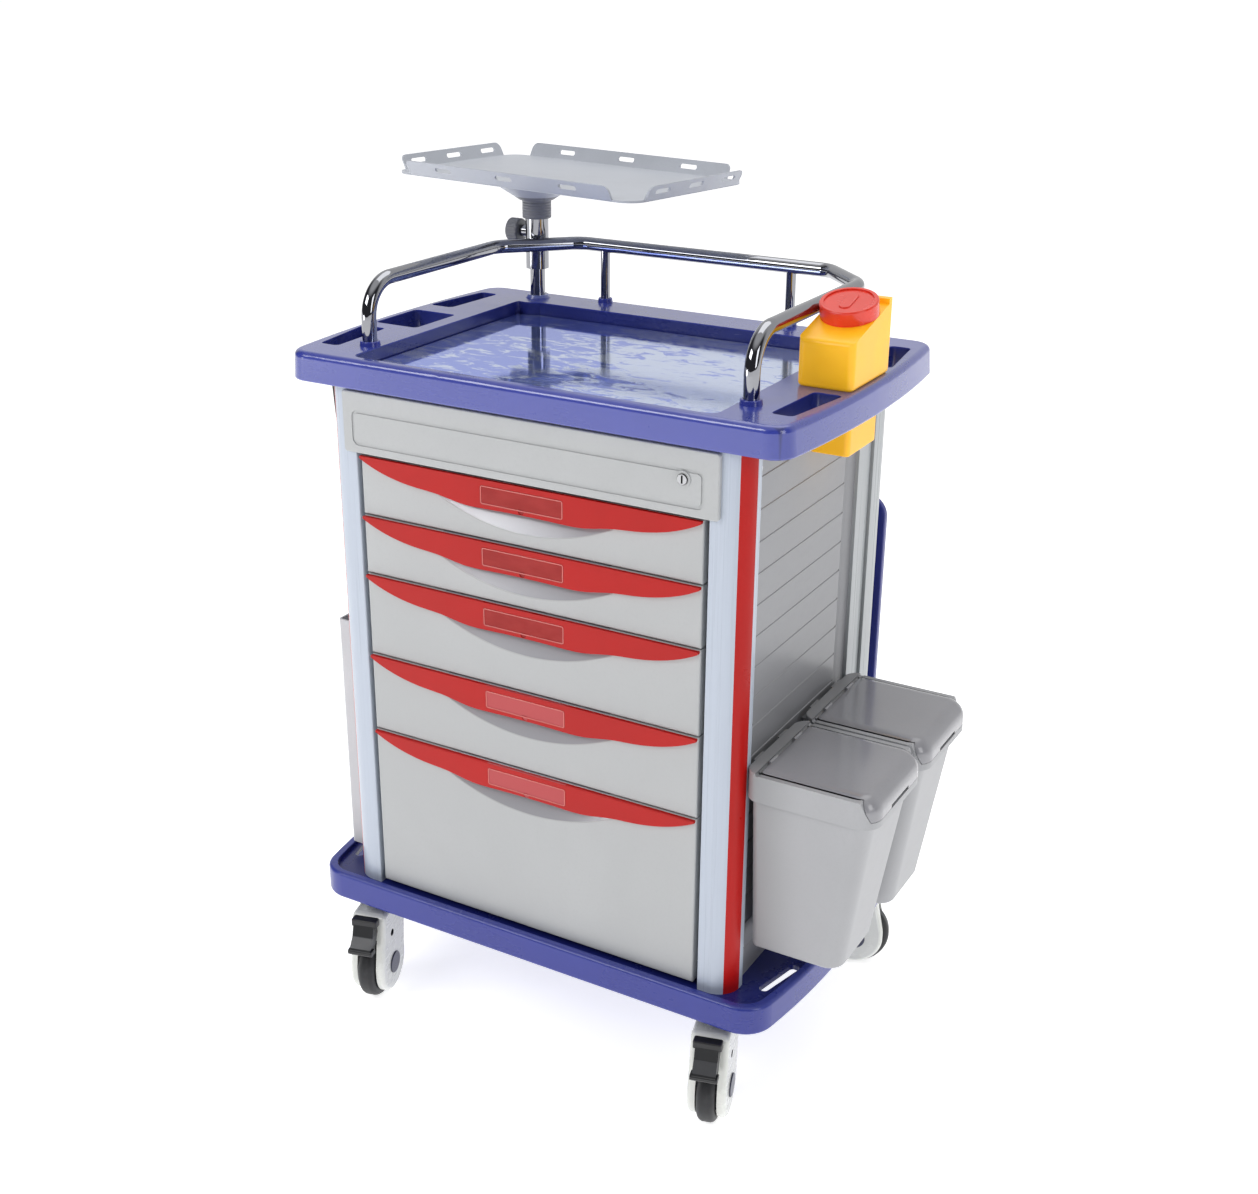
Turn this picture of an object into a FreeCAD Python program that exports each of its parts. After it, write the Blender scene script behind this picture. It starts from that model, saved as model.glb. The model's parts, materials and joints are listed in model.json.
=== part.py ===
import FreeCAD, Part
import math
import os

from FreeCAD import Matrix, Placement, Rotation, Vector

# Instrument cart: a moulded base on four casters, a five-drawer cabinet between four corner
# columns, a moulded worktop with a tubular guard rail and a swivel tray on a post.
# Millimetres. X to the right, Y to the back, Z up; drawers open towards -Y.
# The geometry is laid out about the cabinet's centre line and moved at the end, so that the
# origin is on the floor under the middle of the cart's overall box.

# ---- driving dimensions -------------------------------------------------------------------
TABLE_TOP_Z = 930.0
TABLE_EDGE_HEIGHT = 37.0
TABLE_HALF_DEPTH = 228.0
TABLE_CORNER_X = 334.5
TABLE_APEX_X = 350.0
TABLE_DRAFT = 3.0
TABLE_EDGE_ROUND = 8.0
RECESS_HALF_WIDTH = 248.0
RECESS_FRONT_Y = -213.0
RECESS_BACK_Y = 163.0
RECESS_DEPTH = 19.0
MAT_THICKNESS = 2.0

BASE_BOTTOM_Z = 157.0
BASE_TOP_Z = 197.0
BASE_FLOOR_Z = 190.0
BASE_HALF_DEPTH = 236.0
BASE_CORNER_X = 335.0
BASE_APEX_X = 360.0

BODY_HALF_WIDTH = 290.0
BODY_HALF_DEPTH = 216.0
COLUMN_WIDTH = 45.0
COLUMN_DEPTH = 38.0
COLUMN_RADIUS = 30.0
COLUMN_WALL = 3.0
PANEL_FACE_X = 282.0
PANEL_THICKNESS = 6.0
# Rear column's flat return along the side, in two steps with a groove between them.
RETURN_FRONT_Y = 119.0
RETURN_GROOVE_Y = 159.0
RETURN_GROOVE_HALF = 1.6
RETURN_FACE_X = 286.5

DRAWER_TOPS = [809.0, 730.0, 651.0, 539.0, 430.0]
DRAWER_BOTTOM_Z = 196.4
DRAWER_HALF_WIDTH = 238.5
DRAWER_GAP = 2.0
FRONT_THICKNESS = 13.0
TUB_HALF_WIDTH = 224.0
TUB_BACK_Y = 165.0
TUB_WALL = 2.5
PULL_HEIGHT = 36.0
PULL_THICKNESS = 5.0

FASCIA_HALF_WIDTH = 259.0
FASCIA_BOTTOM_Z = 811.0
FASCIA_TOP_Z = 889.0
FASCIA_THICKNESS = 6.0
LOCK_X = 214.5
LOCK_Z = 854.0
LOCK_DROP = 6.5

RAIL_RADIUS = 9.25
RAIL_Z = 1008.0
RAIL_HALF_WIDTH = 262.5
RAIL_FRONT_Y = -156.0
RAIL_BACK_Y = 214.0
# Where the rear corners are cut off: right side, then left side, each as x and y.
RAIL_CUT_RIGHT = [194.0, 145.0]
RAIL_CUT_LEFT = [-178.0, 128.0]
RAIL_BEND = 45.0
REAR_SUPPORT_X = 140.0
REAR_SUPPORT_RADIUS = 6.5

POST_X = -237.0
POST_Y = 192.0
POST_RADIUS = 10.5
SLEEVE_RADIUS = 16.0
SLEEVE_BOTTOM_Z = 972.0
COLLAR_BOTTOM_Z = 1041.0
COLLAR_TOP_Z = 1066.0
COLLAR_RADIUS = 20.0
KNOB_Z = 1021.0
KNOB_RADIUS = 16.5

TRAY_Z = 1097.0
TRAY_HALF_LENGTH = 212.0
TRAY_HALF_WIDTH = 122.5
TRAY_THICKNESS = 3.0
TRAY_LIP_HEIGHT = 21.0
TRAY_LIP_FLARE = 11.0
TRAY_ANGLE = -9.3
# Middle of the tray from the post, along and across the tray.
TRAY_OFFSET = 44.0
TRAY_SIDE_OFFSET = 15.0

BIN_INNER_X = 298.0
BIN_OUTER_X = 456.0
BIN_DEPTH = 160.0
BIN_FRONT_Y = [-200.0, -36.0]
BIN_BOTTOM_Z = 250.0
BIN_TOP_Z = 503.0
BIN_HINGE_X = 308.0
BIN_RIM_X = 290.6
BIN_WALL = 2.5

HOLE_CENTRE_X = 303.0
# Middle of the hole along Y, right and left.
HOLE_CENTRE_Y = {1: 3.0, -1: -6.0}
HOLE_HALF_X = 33.0
HOLE_HALF_Y = 45.0

WHEEL_RADIUS = 50.0
WHEEL_WIDTH = 24.0
WELL_HALF_WIDTH = 14.0
HUB_RADIUS = 38.0
AXLE_RADIUS = 4.0
CASTER_TRAIL = 25.0
FORK_TOP_Z = 139.0
# Place of each swivel axis and the heading of its wheel, degrees from straight ahead.
CASTERS = {
    "fl": (-273.5, -182.0, 15.0),
    "fr": (259.5, -182.0, 15.0),
    "rl": (-268.0, 198.0, 150.0),
    "rr": (268.0, 198.0, 110.0),
}
STEM_RADIUS = 6.0
RUNNING_GAP = 0.06

nodes = {}


# ---- geometry helpers ---------------------------------------------------------------------
def box(x0, x1, y0, y1, z0, z1):
    return Part.makeBox(x1 - x0, y1 - y0, z1 - z0, Vector(x0, y0, z0))


def rod(start, end, radius):
    axis = end - start
    return Part.makeCylinder(radius, axis.Length, start, axis)


def cone(start, end, radius_start, radius_end):
    axis = end - start
    return Part.makeCone(radius_start, radius_end, axis.Length, start, axis)


def rounded_wire(points, radii, closed=True):
    """Straight runs joined by tangent arcs, one radius per corner."""
    count = len(points)
    edges = []
    starts = []
    ends = []
    arcs = []
    for index, corner in enumerate(points):
        radius = radii[index]
        is_end = not closed and index in (0, count - 1)
        if radius <= 0 or is_end:
            starts.append(corner)
            ends.append(corner)
            arcs.append(None)
            continue
        back = (points[index - 1] - corner).normalize()
        ahead = (points[(index + 1) % count] - corner).normalize()
        half = back.getAngle(ahead) / 2.0
        reach = radius / math.tan(half)
        bisector = (back + ahead).normalize()
        middle = corner + bisector * (radius / math.sin(half) - radius)
        starts.append(corner + back * reach)
        ends.append(corner + ahead * reach)
        arcs.append(middle)
    for index in range(count):
        if arcs[index] is not None:
            edges.append(Part.Arc(starts[index], arcs[index], ends[index]).toShape())
        following = (index + 1) % count
        if following == 0 and not closed:
            break
        if (starts[following] - ends[index]).Length > 1e-6:
            edges.append(Part.LineSegment(ends[index], starts[following]).toShape())
    return Part.Wire(edges)


def prism(points, radii, along):
    """A rounded polygon swept straight along a vector."""
    if not isinstance(radii, list):
        radii = [radii] * len(points)
    return Part.Face(rounded_wire(points, radii)).extrude(along)


def rounded_box(x0, x1, y0, y1, z0, z1, radius):
    """A box with its upright edges rounded."""
    corners = [Vector(x0, y0, z0), Vector(x1, y0, z0), Vector(x1, y1, z0), Vector(x0, y1, z0)]
    return prism(corners, radius, Vector(0, 0, z1 - z0))


def rounded_plate_xz(x0, x1, z0, z1, y0, y1, radius):
    """A box with its front-to-back edges rounded."""
    corners = [Vector(x0, y0, z0), Vector(x1, y0, z0), Vector(x1, y0, z1), Vector(x0, y0, z1)]
    return prism(corners, radius, Vector(0, y1 - y0, 0))


def soften(shape, radius, wanted):
    """Fillet the edges that wanted(edge) picks; the shape is kept if none can be."""
    edges = [edge for edge in shape.Edges if wanted(edge)]
    if not edges:
        return shape
    try:
        rounded = shape.makeFillet(radius, edges)
    except Part.OCCError:
        print("left sharp, radius", radius, "edges", len(edges))
        return shape
    return rounded if rounded.isValid() and rounded.Volume > 0 else shape


def at_height(z):
    """Picks the edges that lie flat at one height."""
    return lambda edge: abs(edge.BoundBox.ZMin - z) < 0.01 and abs(edge.BoundBox.ZMax - z) < 0.01


def at_y(y):
    return lambda edge: abs(edge.BoundBox.YMin - y) < 0.01 and abs(edge.BoundBox.YMax - y) < 0.01


def mirrored_x(shape):
    return shape.mirror(Vector(0, 0, 0), Vector(1, 0, 0))


def mirrored_y(shape):
    return shape.mirror(Vector(0, 0, 0), Vector(0, 1, 0))


def tube(points, bends, radius):
    """A round bar along straight runs joined by tangent arcs."""
    path = rounded_wire(points, bends, closed=False)
    direction = points[1] - points[0]
    ring = Part.Wire(Part.makeCircle(radius, points[0], direction))
    return path.makePipeShell([ring], True, True)


def bowed_outline(corner_x, apex_x, half_depth, corner_radius, z):
    """Wire with straight front and back and two ends that bow outwards."""
    rise = apex_x - corner_x
    bow = (rise * rise + half_depth * half_depth) / (2.0 * rise)
    block = box(-apex_x, apex_x, -half_depth, half_depth, z, z + 1.0)
    for side in (1, -1):
        centre = Vector(side * (apex_x - bow), 0, z)
        block = block.common(Part.makeCylinder(bow, 1.0, centre))
    block = soften(
        block,
        corner_radius,
        lambda edge: edge.BoundBox.ZLength > 0.9 and abs(edge.BoundBox.YMax) > half_depth - 1,
    )
    bottom = min(block.Faces, key=lambda face: face.CenterOfMass.z)
    return bottom.OuterWire


def bowed_slab(corner_x, apex_x, half_depth, corner_radius, z0, z1):
    outline = bowed_outline(corner_x, apex_x, half_depth, corner_radius, z0)
    return Part.Face(outline).extrude(Vector(0, 0, z1 - z0))


def fuse(shapes):
    result = shapes[0].multiFuse(shapes[1:]) if len(shapes) > 1 else shapes[0]
    return result.removeSplitter()


def add(name, *shapes):
    """Keep the separate solids of one node."""
    solids = []
    for shape in shapes:
        solids.extend(shape.Solids)
    nodes[name] = solids


# ---- worktop ------------------------------------------------------------------------------
END_SLOT_POINTS = [(296, -179), (323, -179), (338, -73), (302, -73)]
BOSS_RADIUS = 18.0
WING_START_X = 294.0
SKIN = 4.0


def end_slot(z0, z1, grow=0.0):
    """Tapered hand slot in the right front of the top, which widens towards the middle."""
    outward = [(-1, -1), (1, -1), (1, 1), (-1, 1)]
    points = [
        Vector(x + grow * sx, y + grow * sy, z0)
        for (x, y), (sx, sy) in zip(END_SLOT_POINTS, outward)
    ]
    return prism(points, 7.0 + grow, Vector(0, 0, z1 - z0))


def four_ways(shape):
    """A shape and its mirror images in both centre planes."""
    left = mirrored_x(shape)
    return [shape, left, mirrored_y(shape), mirrored_y(left)]


def square_hole(side, z0, z1, grow=0.0):
    centre_x = side * HOLE_CENTRE_X
    half_x = HOLE_HALF_X + grow
    half_y = HOLE_HALF_Y + grow
    return rounded_box(
        centre_x - half_x,
        centre_x + half_x,
        HOLE_CENTRE_Y[side] - half_y,
        HOLE_CENTRE_Y[side] + half_y,
        z0,
        z1,
        7.0 + grow,
    )


def recess(z0, z1, inset=0.0):
    hollow = rounded_box(
        -RECESS_HALF_WIDTH + inset,
        RECESS_HALF_WIDTH - inset,
        RECESS_FRONT_Y + inset,
        RECESS_BACK_Y - inset,
        z0,
        z1,
        14.0,
    )
    # The corner beside the tray post steps round the post's boss.
    boss = Part.makeCylinder(BOSS_RADIUS + 18.0 + inset, z1 - z0, Vector(POST_X, POST_Y, z0))
    return hollow.cut(boss)


def make_table():
    bottom = TABLE_TOP_Z - TABLE_EDGE_HEIGHT
    top = TABLE_TOP_Z
    low = bowed_outline(
        TABLE_CORNER_X + TABLE_DRAFT, TABLE_APEX_X + TABLE_DRAFT, TABLE_HALF_DEPTH, 28.0, bottom
    )
    high = bowed_outline(TABLE_CORNER_X, TABLE_APEX_X, TABLE_HALF_DEPTH, 28.0, top)
    slab = Part.makeLoft([low, high], True, True)
    slab = soften(slab, TABLE_EDGE_ROUND, at_height(top))
    slab = soften(slab, 2.5, at_height(bottom))
    # The overhanging ends are hollow below, with a skirt round every opening.
    hollow = bowed_slab(
        TABLE_CORNER_X - SKIN, TABLE_APEX_X - SKIN, TABLE_HALF_DEPTH - SKIN, 24.0,
        bottom - 1, top - SKIN,
    )
    hollow = hollow.cut(box(-WING_START_X, WING_START_X, -300, 300, 0, top))
    skirts = four_ways(end_slot(bottom - 1, top, SKIN))
    skirts += [square_hole(side, bottom - 1, top, SKIN) for side in (1, -1)]
    hollow = hollow.cut(skirts)
    openings = four_ways(end_slot(bottom - 5, top + 5))
    openings += [square_hole(side, bottom - 5, top + 5) for side in (1, -1)]
    openings.append(recess(top - RECESS_DEPTH, top + 5))
    table = slab.cut([hollow] + openings)
    table = soften(table, 2.0, is_opening_edge)
    post_hole = Part.makeCylinder(POST_RADIUS, 60, Vector(POST_X, POST_Y, bottom + 6))
    boss = cone(
        Vector(POST_X, POST_Y, top - 1), Vector(POST_X, POST_Y, top + 5), BOSS_RADIUS, POST_RADIUS + 4
    )
    table = fuse([table, boss]).cut(post_hole)
    for x, y, radius in rail_feet():
        table = table.cut(Part.makeCylinder(radius, 60, Vector(x, y, bottom + 6)))
    return table


def is_opening_edge(edge):
    """Edges of the recess and slots at the top face, away from the outer rim."""
    bounds = edge.BoundBox
    if abs(bounds.ZMin - TABLE_TOP_Z) > 0.01 or abs(bounds.ZMax - TABLE_TOP_Z) > 0.01:
        return False
    inside_y = max(abs(bounds.YMin), abs(bounds.YMax)) < TABLE_HALF_DEPTH - 8
    inside_x = max(abs(bounds.XMin), abs(bounds.XMax)) < TABLE_CORNER_X + 4
    return inside_x and inside_y


def rail_feet():
    feet = [(side * RAIL_HALF_WIDTH, RAIL_FRONT_Y, RAIL_RADIUS) for side in (1, -1)]
    feet += [(side * REAR_SUPPORT_X, RAIL_BACK_Y, REAR_SUPPORT_RADIUS) for side in (1, -1)]
    return feet


def make_mat():
    floor = TABLE_TOP_Z - RECESS_DEPTH
    return recess(floor, floor + MAT_THICKNESS, 3.0)


# ---- base ---------------------------------------------------------------------------------
def make_base():
    slab = bowed_slab(
        BASE_CORNER_X, BASE_APEX_X, BASE_HALF_DEPTH, 42.0, BASE_BOTTOM_Z, BASE_TOP_Z
    )
    slab = soften(slab, 5.0, at_height(BASE_TOP_Z))
    slab = soften(slab, 5.0, at_height(BASE_BOTTOM_Z))
    rim = 11.0
    dish = bowed_slab(
        BASE_CORNER_X - rim, BASE_APEX_X - rim, BASE_HALF_DEPTH - rim, 32.0, BASE_FLOOR_Z, 260.0
    )
    skin = 7.0
    hollow = bowed_slab(
        BASE_CORNER_X - skin, BASE_APEX_X - skin, BASE_HALF_DEPTH - skin, 36.0,
        BASE_BOTTOM_Z - 1, BASE_FLOOR_Z - skin,
    )
    mountings = [box(x - 38, x + 38, y - 34, y + 34, 0, 300) for x, y, _ in CASTERS.values()]
    hollow = hollow.cut(mountings)
    slot = prism(
        [Vector(310, -178, 100), Vector(322, -178, 100), Vector(340, -108, 100), Vector(326, -108, 100)],
        5.5,
        Vector(0, 0, 200),
    )
    base = slab.cut([dish, hollow] + four_ways(slot))
    base = soften(base, 1.5, is_dish_edge)
    for x, y, _ in CASTERS.values():
        base = base.cut(Part.makeCylinder(STEM_RADIUS, 16.0, Vector(x, y, BASE_BOTTOM_Z - 1)))
    return base


def is_dish_edge(edge):
    bounds = edge.BoundBox
    flat = abs(bounds.ZMin - BASE_TOP_Z) < 0.01 and abs(bounds.ZMax - BASE_TOP_Z) < 0.01
    return flat and max(abs(bounds.YMin), abs(bounds.YMax)) < BASE_HALF_DEPTH - 8


# ---- cabinet ------------------------------------------------------------------------------
COLUMN_BOTTOM_Z = BASE_FLOOR_Z
COLUMN_TOP_Z = TABLE_TOP_Z - TABLE_EDGE_HEIGHT
STRIPE_START = -52.0
STRIPE_SPAN = 47.0
STRIPE_DEPTH = 1.2


def corner_section(inset, radius, z0, z1):
    """Front right column: a square section with its outer corner rounded."""
    x0 = BODY_HALF_WIDTH - COLUMN_WIDTH + inset
    x1 = BODY_HALF_WIDTH - inset
    y0 = -BODY_HALF_DEPTH + inset
    y1 = -BODY_HALF_DEPTH + COLUMN_DEPTH - inset
    corners = [Vector(x0, y0, z0), Vector(x1, y0, z0), Vector(x1, y1, z0), Vector(x0, y1, z0)]
    return prism(corners, [1.5, radius, 1.5, 1.5], Vector(0, 0, z1 - z0))


def stripe(depth, z0, z1):
    """Band round the outer corner, from the front to the side."""
    centre = Vector(BODY_HALF_WIDTH - COLUMN_RADIUS, -BODY_HALF_DEPTH + COLUMN_RADIUS, z0)
    outer = Part.makeCylinder(COLUMN_RADIUS, z1 - z0, centre, Vector(0, 0, 1), STRIPE_SPAN)
    inner = Part.makeCylinder(COLUMN_RADIUS - depth, z1 - z0, centre, Vector(0, 0, 1), STRIPE_SPAN)
    band = outer.cut(inner)
    band.rotate(centre, Vector(0, 0, 1), STRIPE_START)
    return band


def make_columns():
    solid = corner_section(0.0, COLUMN_RADIUS, COLUMN_BOTTOM_Z, COLUMN_TOP_Z)
    core = corner_section(COLUMN_WALL, COLUMN_RADIUS - COLUMN_WALL, COLUMN_BOTTOM_Z, COLUMN_TOP_Z)
    plain = solid.cut(core)
    front = plain.cut(stripe(STRIPE_DEPTH, COLUMN_BOTTOM_Z, COLUMN_TOP_Z))
    rear = mirrored_y(plain)
    step = box(
        PANEL_FACE_X, BODY_HALF_WIDTH, RETURN_GROOVE_Y + RETURN_GROOVE_HALF,
        BODY_HALF_DEPTH - COLUMN_DEPTH + COLUMN_WALL, COLUMN_BOTTOM_Z, COLUMN_TOP_Z,
    )
    rear = fuse([rear, step])
    edge_strip = box(
        PANEL_FACE_X, RETURN_FACE_X, RETURN_FRONT_Y, RETURN_GROOVE_Y - RETURN_GROOVE_HALF,
        COLUMN_BOTTOM_Z, COLUMN_TOP_Z,
    )
    sides = [front, rear, edge_strip]
    return sides + [mirrored_x(shape) for shape in sides]


SCORE_END_Y = 84.0


def make_side_panel():
    """Right side panel, scored across at even heights like boarding, with a shallow dip at the rear."""
    half_depth = BODY_HALF_DEPTH - COLUMN_DEPTH
    panel = box(
        PANEL_FACE_X - PANEL_THICKNESS, PANEL_FACE_X, -half_depth, half_depth,
        BASE_FLOOR_Z, COLUMN_TOP_Z,
    )
    board_height = 38.9
    cuts = []
    height = COLUMN_TOP_Z - 2.5
    while height > BASE_FLOOR_Z + 10:
        points = [
            Vector(PANEL_FACE_X + 1, -half_depth - 1, height + 2.6),
            Vector(PANEL_FACE_X + 1, -half_depth - 1, height - 2.6),
            Vector(PANEL_FACE_X - 0.9, -half_depth - 1, height - 0.3),
            Vector(PANEL_FACE_X - 0.9, -half_depth - 1, height + 0.3),
        ]
        cuts.append(prism(points, 0, Vector(0, half_depth + 1 + SCORE_END_Y, 0)))
        height -= board_height
    dip_radius = 62.0
    dip_depth = 2.4
    dip_foot = Vector(
        PANEL_FACE_X - dip_depth + dip_radius, (SCORE_END_Y + RETURN_FRONT_Y) / 2, BASE_FLOOR_Z - 1
    )
    dip = Part.makeCylinder(dip_radius, COLUMN_TOP_Z - BASE_FLOOR_Z + 2, dip_foot)
    return panel.cut(cuts + [dip])


def make_back_panel():
    inner = BODY_HALF_WIDTH - COLUMN_WIDTH
    panel = box(-inner, inner, 205, 208, BASE_FLOOR_Z, COLUMN_TOP_Z)
    swage = rounded_plate_xz(-inner + 30, inner - 30, 240, 850, 206.8, 212, 20.0)
    return panel.cut(swage)


def make_fascia():
    front = -BODY_HALF_DEPTH - FASCIA_THICKNESS
    plate = rounded_plate_xz(
        -FASCIA_HALF_WIDTH, FASCIA_HALF_WIDTH, FASCIA_BOTTOM_Z, FASCIA_TOP_Z,
        front, -BODY_HALF_DEPTH, 4.0,
    )
    plate = soften(plate, 2.0, at_y(front))
    ring_outer = rounded_plate_xz(-245, 241, 821, 866, front - 1, front + 1.3, 9.0)
    ring_inner = rounded_plate_xz(-241, 237, 825, 862, front - 1, front + 1.3, 5.0)
    plate = plate.cut(ring_outer.cut(ring_inner))
    inner = BODY_HALF_WIDTH - COLUMN_WIDTH
    stiffener = box(-inner, inner, -BODY_HALF_DEPTH, -BODY_HALF_DEPTH + 4, 815, COLUMN_TOP_Z)
    boss = rod(Vector(LOCK_X, front - 1.2, LOCK_Z), Vector(LOCK_X, front + 2, LOCK_Z), 9.5)
    bore = rod(Vector(LOCK_X, -240, LOCK_Z), Vector(LOCK_X, -190, LOCK_Z), 6.5 + RUNNING_GAP)
    return fuse([plate, stiffener, boss]).cut(bore)


def make_lock_plug():
    front = -BODY_HALF_DEPTH - FASCIA_THICKNESS
    plug = rod(Vector(LOCK_X, front - 3.0, LOCK_Z), Vector(LOCK_X, -207.0, LOCK_Z), 6.5)
    plug = soften(plug, 0.8, at_y(front - 3.0))
    keyway = box(LOCK_X - 0.9, LOCK_X + 0.9, front - 4, front + 4, LOCK_Z - 4.2, LOCK_Z + 4.2)
    cam = rounded_plate_xz(LOCK_X - 13.0, LOCK_X + 5.0, LOCK_Z - 5, LOCK_Z + 5, -210.0, -207.0, 4.0)
    return fuse([plug.cut(keyway), cam])


def drawer_bottom(index):
    return DRAWER_TOPS[index + 1] if index + 1 < len(DRAWER_TOPS) else DRAWER_BOTTOM_Z


def tub_bottom(index):
    return drawer_bottom(index) + 7.0


def tub_top(index):
    height = DRAWER_TOPS[index] - drawer_bottom(index)
    return tub_bottom(index) + max(48.0, height - 42.0)


def slide_height(index):
    return tub_bottom(index) + 22.0


LOCK_ARM_X = 205.0


def make_lock_bar():
    """One bar that drops a tee into the back of every drawer."""
    arm_top = LOCK_Z - 14.5
    pieces = [
        box(LOCK_ARM_X - 5, LOCK_X + 8, -206.0, -203.0, arm_top - 12, arm_top),
        box(LOCK_ARM_X - 4, LOCK_ARM_X + 4, -206.0, 178.0, arm_top - 12, arm_top - 4),
        box(LOCK_ARM_X - 7, LOCK_ARM_X + 7, 174.0, 177.0, 215.0, arm_top - 4),
    ]
    for index in range(len(DRAWER_TOPS)):
        low = tub_top(index) + 1.0
        pieces.append(box(LOCK_ARM_X - 4, LOCK_ARM_X + 4, 152, 175, low, low + 3.5))
        pieces.append(box(LOCK_ARM_X - 9, LOCK_ARM_X + 9, 152, 157, low, low + 3.5))
    return fuse(pieces)


def make_slide_channel(side, height):
    """Fixed channel of a drawer slide, open towards the drawer."""
    outer = box(228, 245, -196, 196, height - 9.5, height + 9.5)
    inner = box(227, 243.4, -197, 197, height - 7.7, height + 7.7)
    channel = outer.cut(inner)
    return channel if side > 0 else mirrored_x(channel)


# ---- drawers ------------------------------------------------------------------------------
FRONT_Y = -BODY_HALF_DEPTH
SCOOP_HALF_WIDTH = 116.0
SCOOP_DROP = 26.0


def make_front(index):
    top = DRAWER_TOPS[index] - DRAWER_GAP / 2
    bottom = drawer_bottom(index) + DRAWER_GAP / 2
    front = box(
        -DRAWER_HALF_WIDTH, DRAWER_HALF_WIDTH, FRONT_Y, FRONT_Y + FRONT_THICKNESS, bottom, top
    )
    front = soften(front, 2.2, at_y(FRONT_Y))
    # Finger scoop: a shallow ball-shaped hollow whose lower rim is the arc below the pull.
    pull_bottom = top - PULL_HEIGHT
    rim_radius = (SCOOP_HALF_WIDTH ** 2 + SCOOP_DROP ** 2) / (2 * SCOOP_DROP)
    ball_offset = rim_radius * 1.9
    ball_radius = math.hypot(rim_radius, ball_offset)
    centre = Vector(0, FRONT_Y - ball_offset, pull_bottom - SCOOP_DROP + rim_radius)
    scoop = Part.makeSphere(ball_radius, centre)
    limit = box(-SCOOP_HALF_WIDTH - 6, SCOOP_HALF_WIDTH + 6, FRONT_Y - 1, FRONT_Y + 11,
                pull_bottom - SCOOP_DROP - 1, pull_bottom + 12)
    return front.cut(scoop.common(limit))


def pull_outline(top, y):
    """Straight top edge; the lower edge swells from pointed ends to a deep middle."""
    half = DRAWER_HALF_WIDTH - 1.0
    right_side = [(half, 3.0), (half * 0.86, 17.0), (half * 0.66, 26.5), (half * 0.50, 30.0),
                  (half * 0.36, PULL_HEIGHT - 0.5), (half * 0.20, PULL_HEIGHT)]
    lower = [Vector(-x, y, top - drop) for x, drop in right_side]
    lower += [Vector(x, y, top - drop) for x, drop in reversed(right_side)]
    curve = Part.BSplineCurve()
    curve.interpolate(lower)
    edges = [
        curve.toShape(),
        Part.LineSegment(lower[-1], Vector(half, y, top)).toShape(),
        Part.LineSegment(Vector(half, y, top), Vector(-half, y, top)).toShape(),
        Part.LineSegment(Vector(-half, y, top), lower[0]).toShape(),
    ]
    return Part.Wire(edges)


def make_pull(index):
    top = DRAWER_TOPS[index] - DRAWER_GAP / 2 - 0.5
    back = FRONT_Y
    face = back - PULL_THICKNESS
    strip = Part.Face(pull_outline(top, face)).extrude(Vector(0, PULL_THICKNESS, 0))
    strip = soften(strip, 1.6, at_y(face))
    half = 58.0
    pocket = rounded_plate_xz(-half, half, top - 31, top - 7, face - 1, face + 1.6, 3.0)
    label = rounded_plate_xz(-half + 0.4, half - 0.4, top - 30.6, top - 7.4, face + 0.4, face + 1.6, 2.6)
    notch = rod(Vector(0, face - 1, top - 31), Vector(0, face + 1.0, top - 31), 4.0)
    strip = strip.cut([pocket, notch])
    return [strip, label.cut(notch)]


def make_tub(index):
    low = tub_bottom(index)
    high = tub_top(index)
    front = FRONT_Y + FRONT_THICKNESS
    outer = rounded_box(-TUB_HALF_WIDTH, TUB_HALF_WIDTH, front, TUB_BACK_Y, low, high, 6.0)
    inner = rounded_box(
        -TUB_HALF_WIDTH + TUB_WALL, TUB_HALF_WIDTH - TUB_WALL, front + TUB_WALL,
        TUB_BACK_Y - TUB_WALL, low + TUB_WALL, high + 5, 4.0,
    )
    notch = box(LOCK_ARM_X - 7, LOCK_ARM_X + 7, 140, 200, high - 9, high + 5)
    tub = outer.cut([inner, notch])
    height = slide_height(index)
    runner = box(TUB_HALF_WIDTH, 242.8, -190, TUB_BACK_Y - 5, height - 7.0, height + 7.0)
    return [tub, runner, mirrored_x(runner)]


# ---- guard rail and post ------------------------------------------------------------------
def make_guard_rail():
    foot_z = TABLE_TOP_Z - TABLE_EDGE_HEIGHT + 6
    side = RAIL_HALF_WIDTH
    points = [
        Vector(side, RAIL_FRONT_Y, foot_z),
        Vector(side, RAIL_FRONT_Y, RAIL_Z),
        Vector(side, RAIL_CUT_RIGHT[1], RAIL_Z),
        Vector(RAIL_CUT_RIGHT[0], RAIL_BACK_Y, RAIL_Z),
        Vector(RAIL_CUT_LEFT[0], RAIL_BACK_Y, RAIL_Z),
        Vector(-side, RAIL_CUT_LEFT[1], RAIL_Z),
        Vector(-side, RAIL_FRONT_Y, RAIL_Z),
        Vector(-side, RAIL_FRONT_Y, foot_z),
    ]
    bends = [0, RAIL_BEND, 34, 34, 34, 34, RAIL_BEND, 0]
    rail = tube(points, bends, RAIL_RADIUS)
    supports = [
        rod(Vector(x, RAIL_BACK_Y, foot_z), Vector(x, RAIL_BACK_Y, RAIL_Z), REAR_SUPPORT_RADIUS)
        for x in (-REAR_SUPPORT_X, REAR_SUPPORT_X)
    ]
    return fuse([rail] + supports)


def make_rail_sockets():
    sockets = []
    for x, y, radius in rail_feet():
        foot = Vector(x, y, TABLE_TOP_Z)
        height = 6.0
        ring = cone(foot, foot + Vector(0, 0, height), radius + 4.0, radius + 3.0)
        ring = soften(ring, 1.2, at_height(TABLE_TOP_Z + height))
        sockets.append(ring.cut(Part.makeCylinder(radius, 30, foot - Vector(0, 0, 5))))
    return sockets


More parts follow.
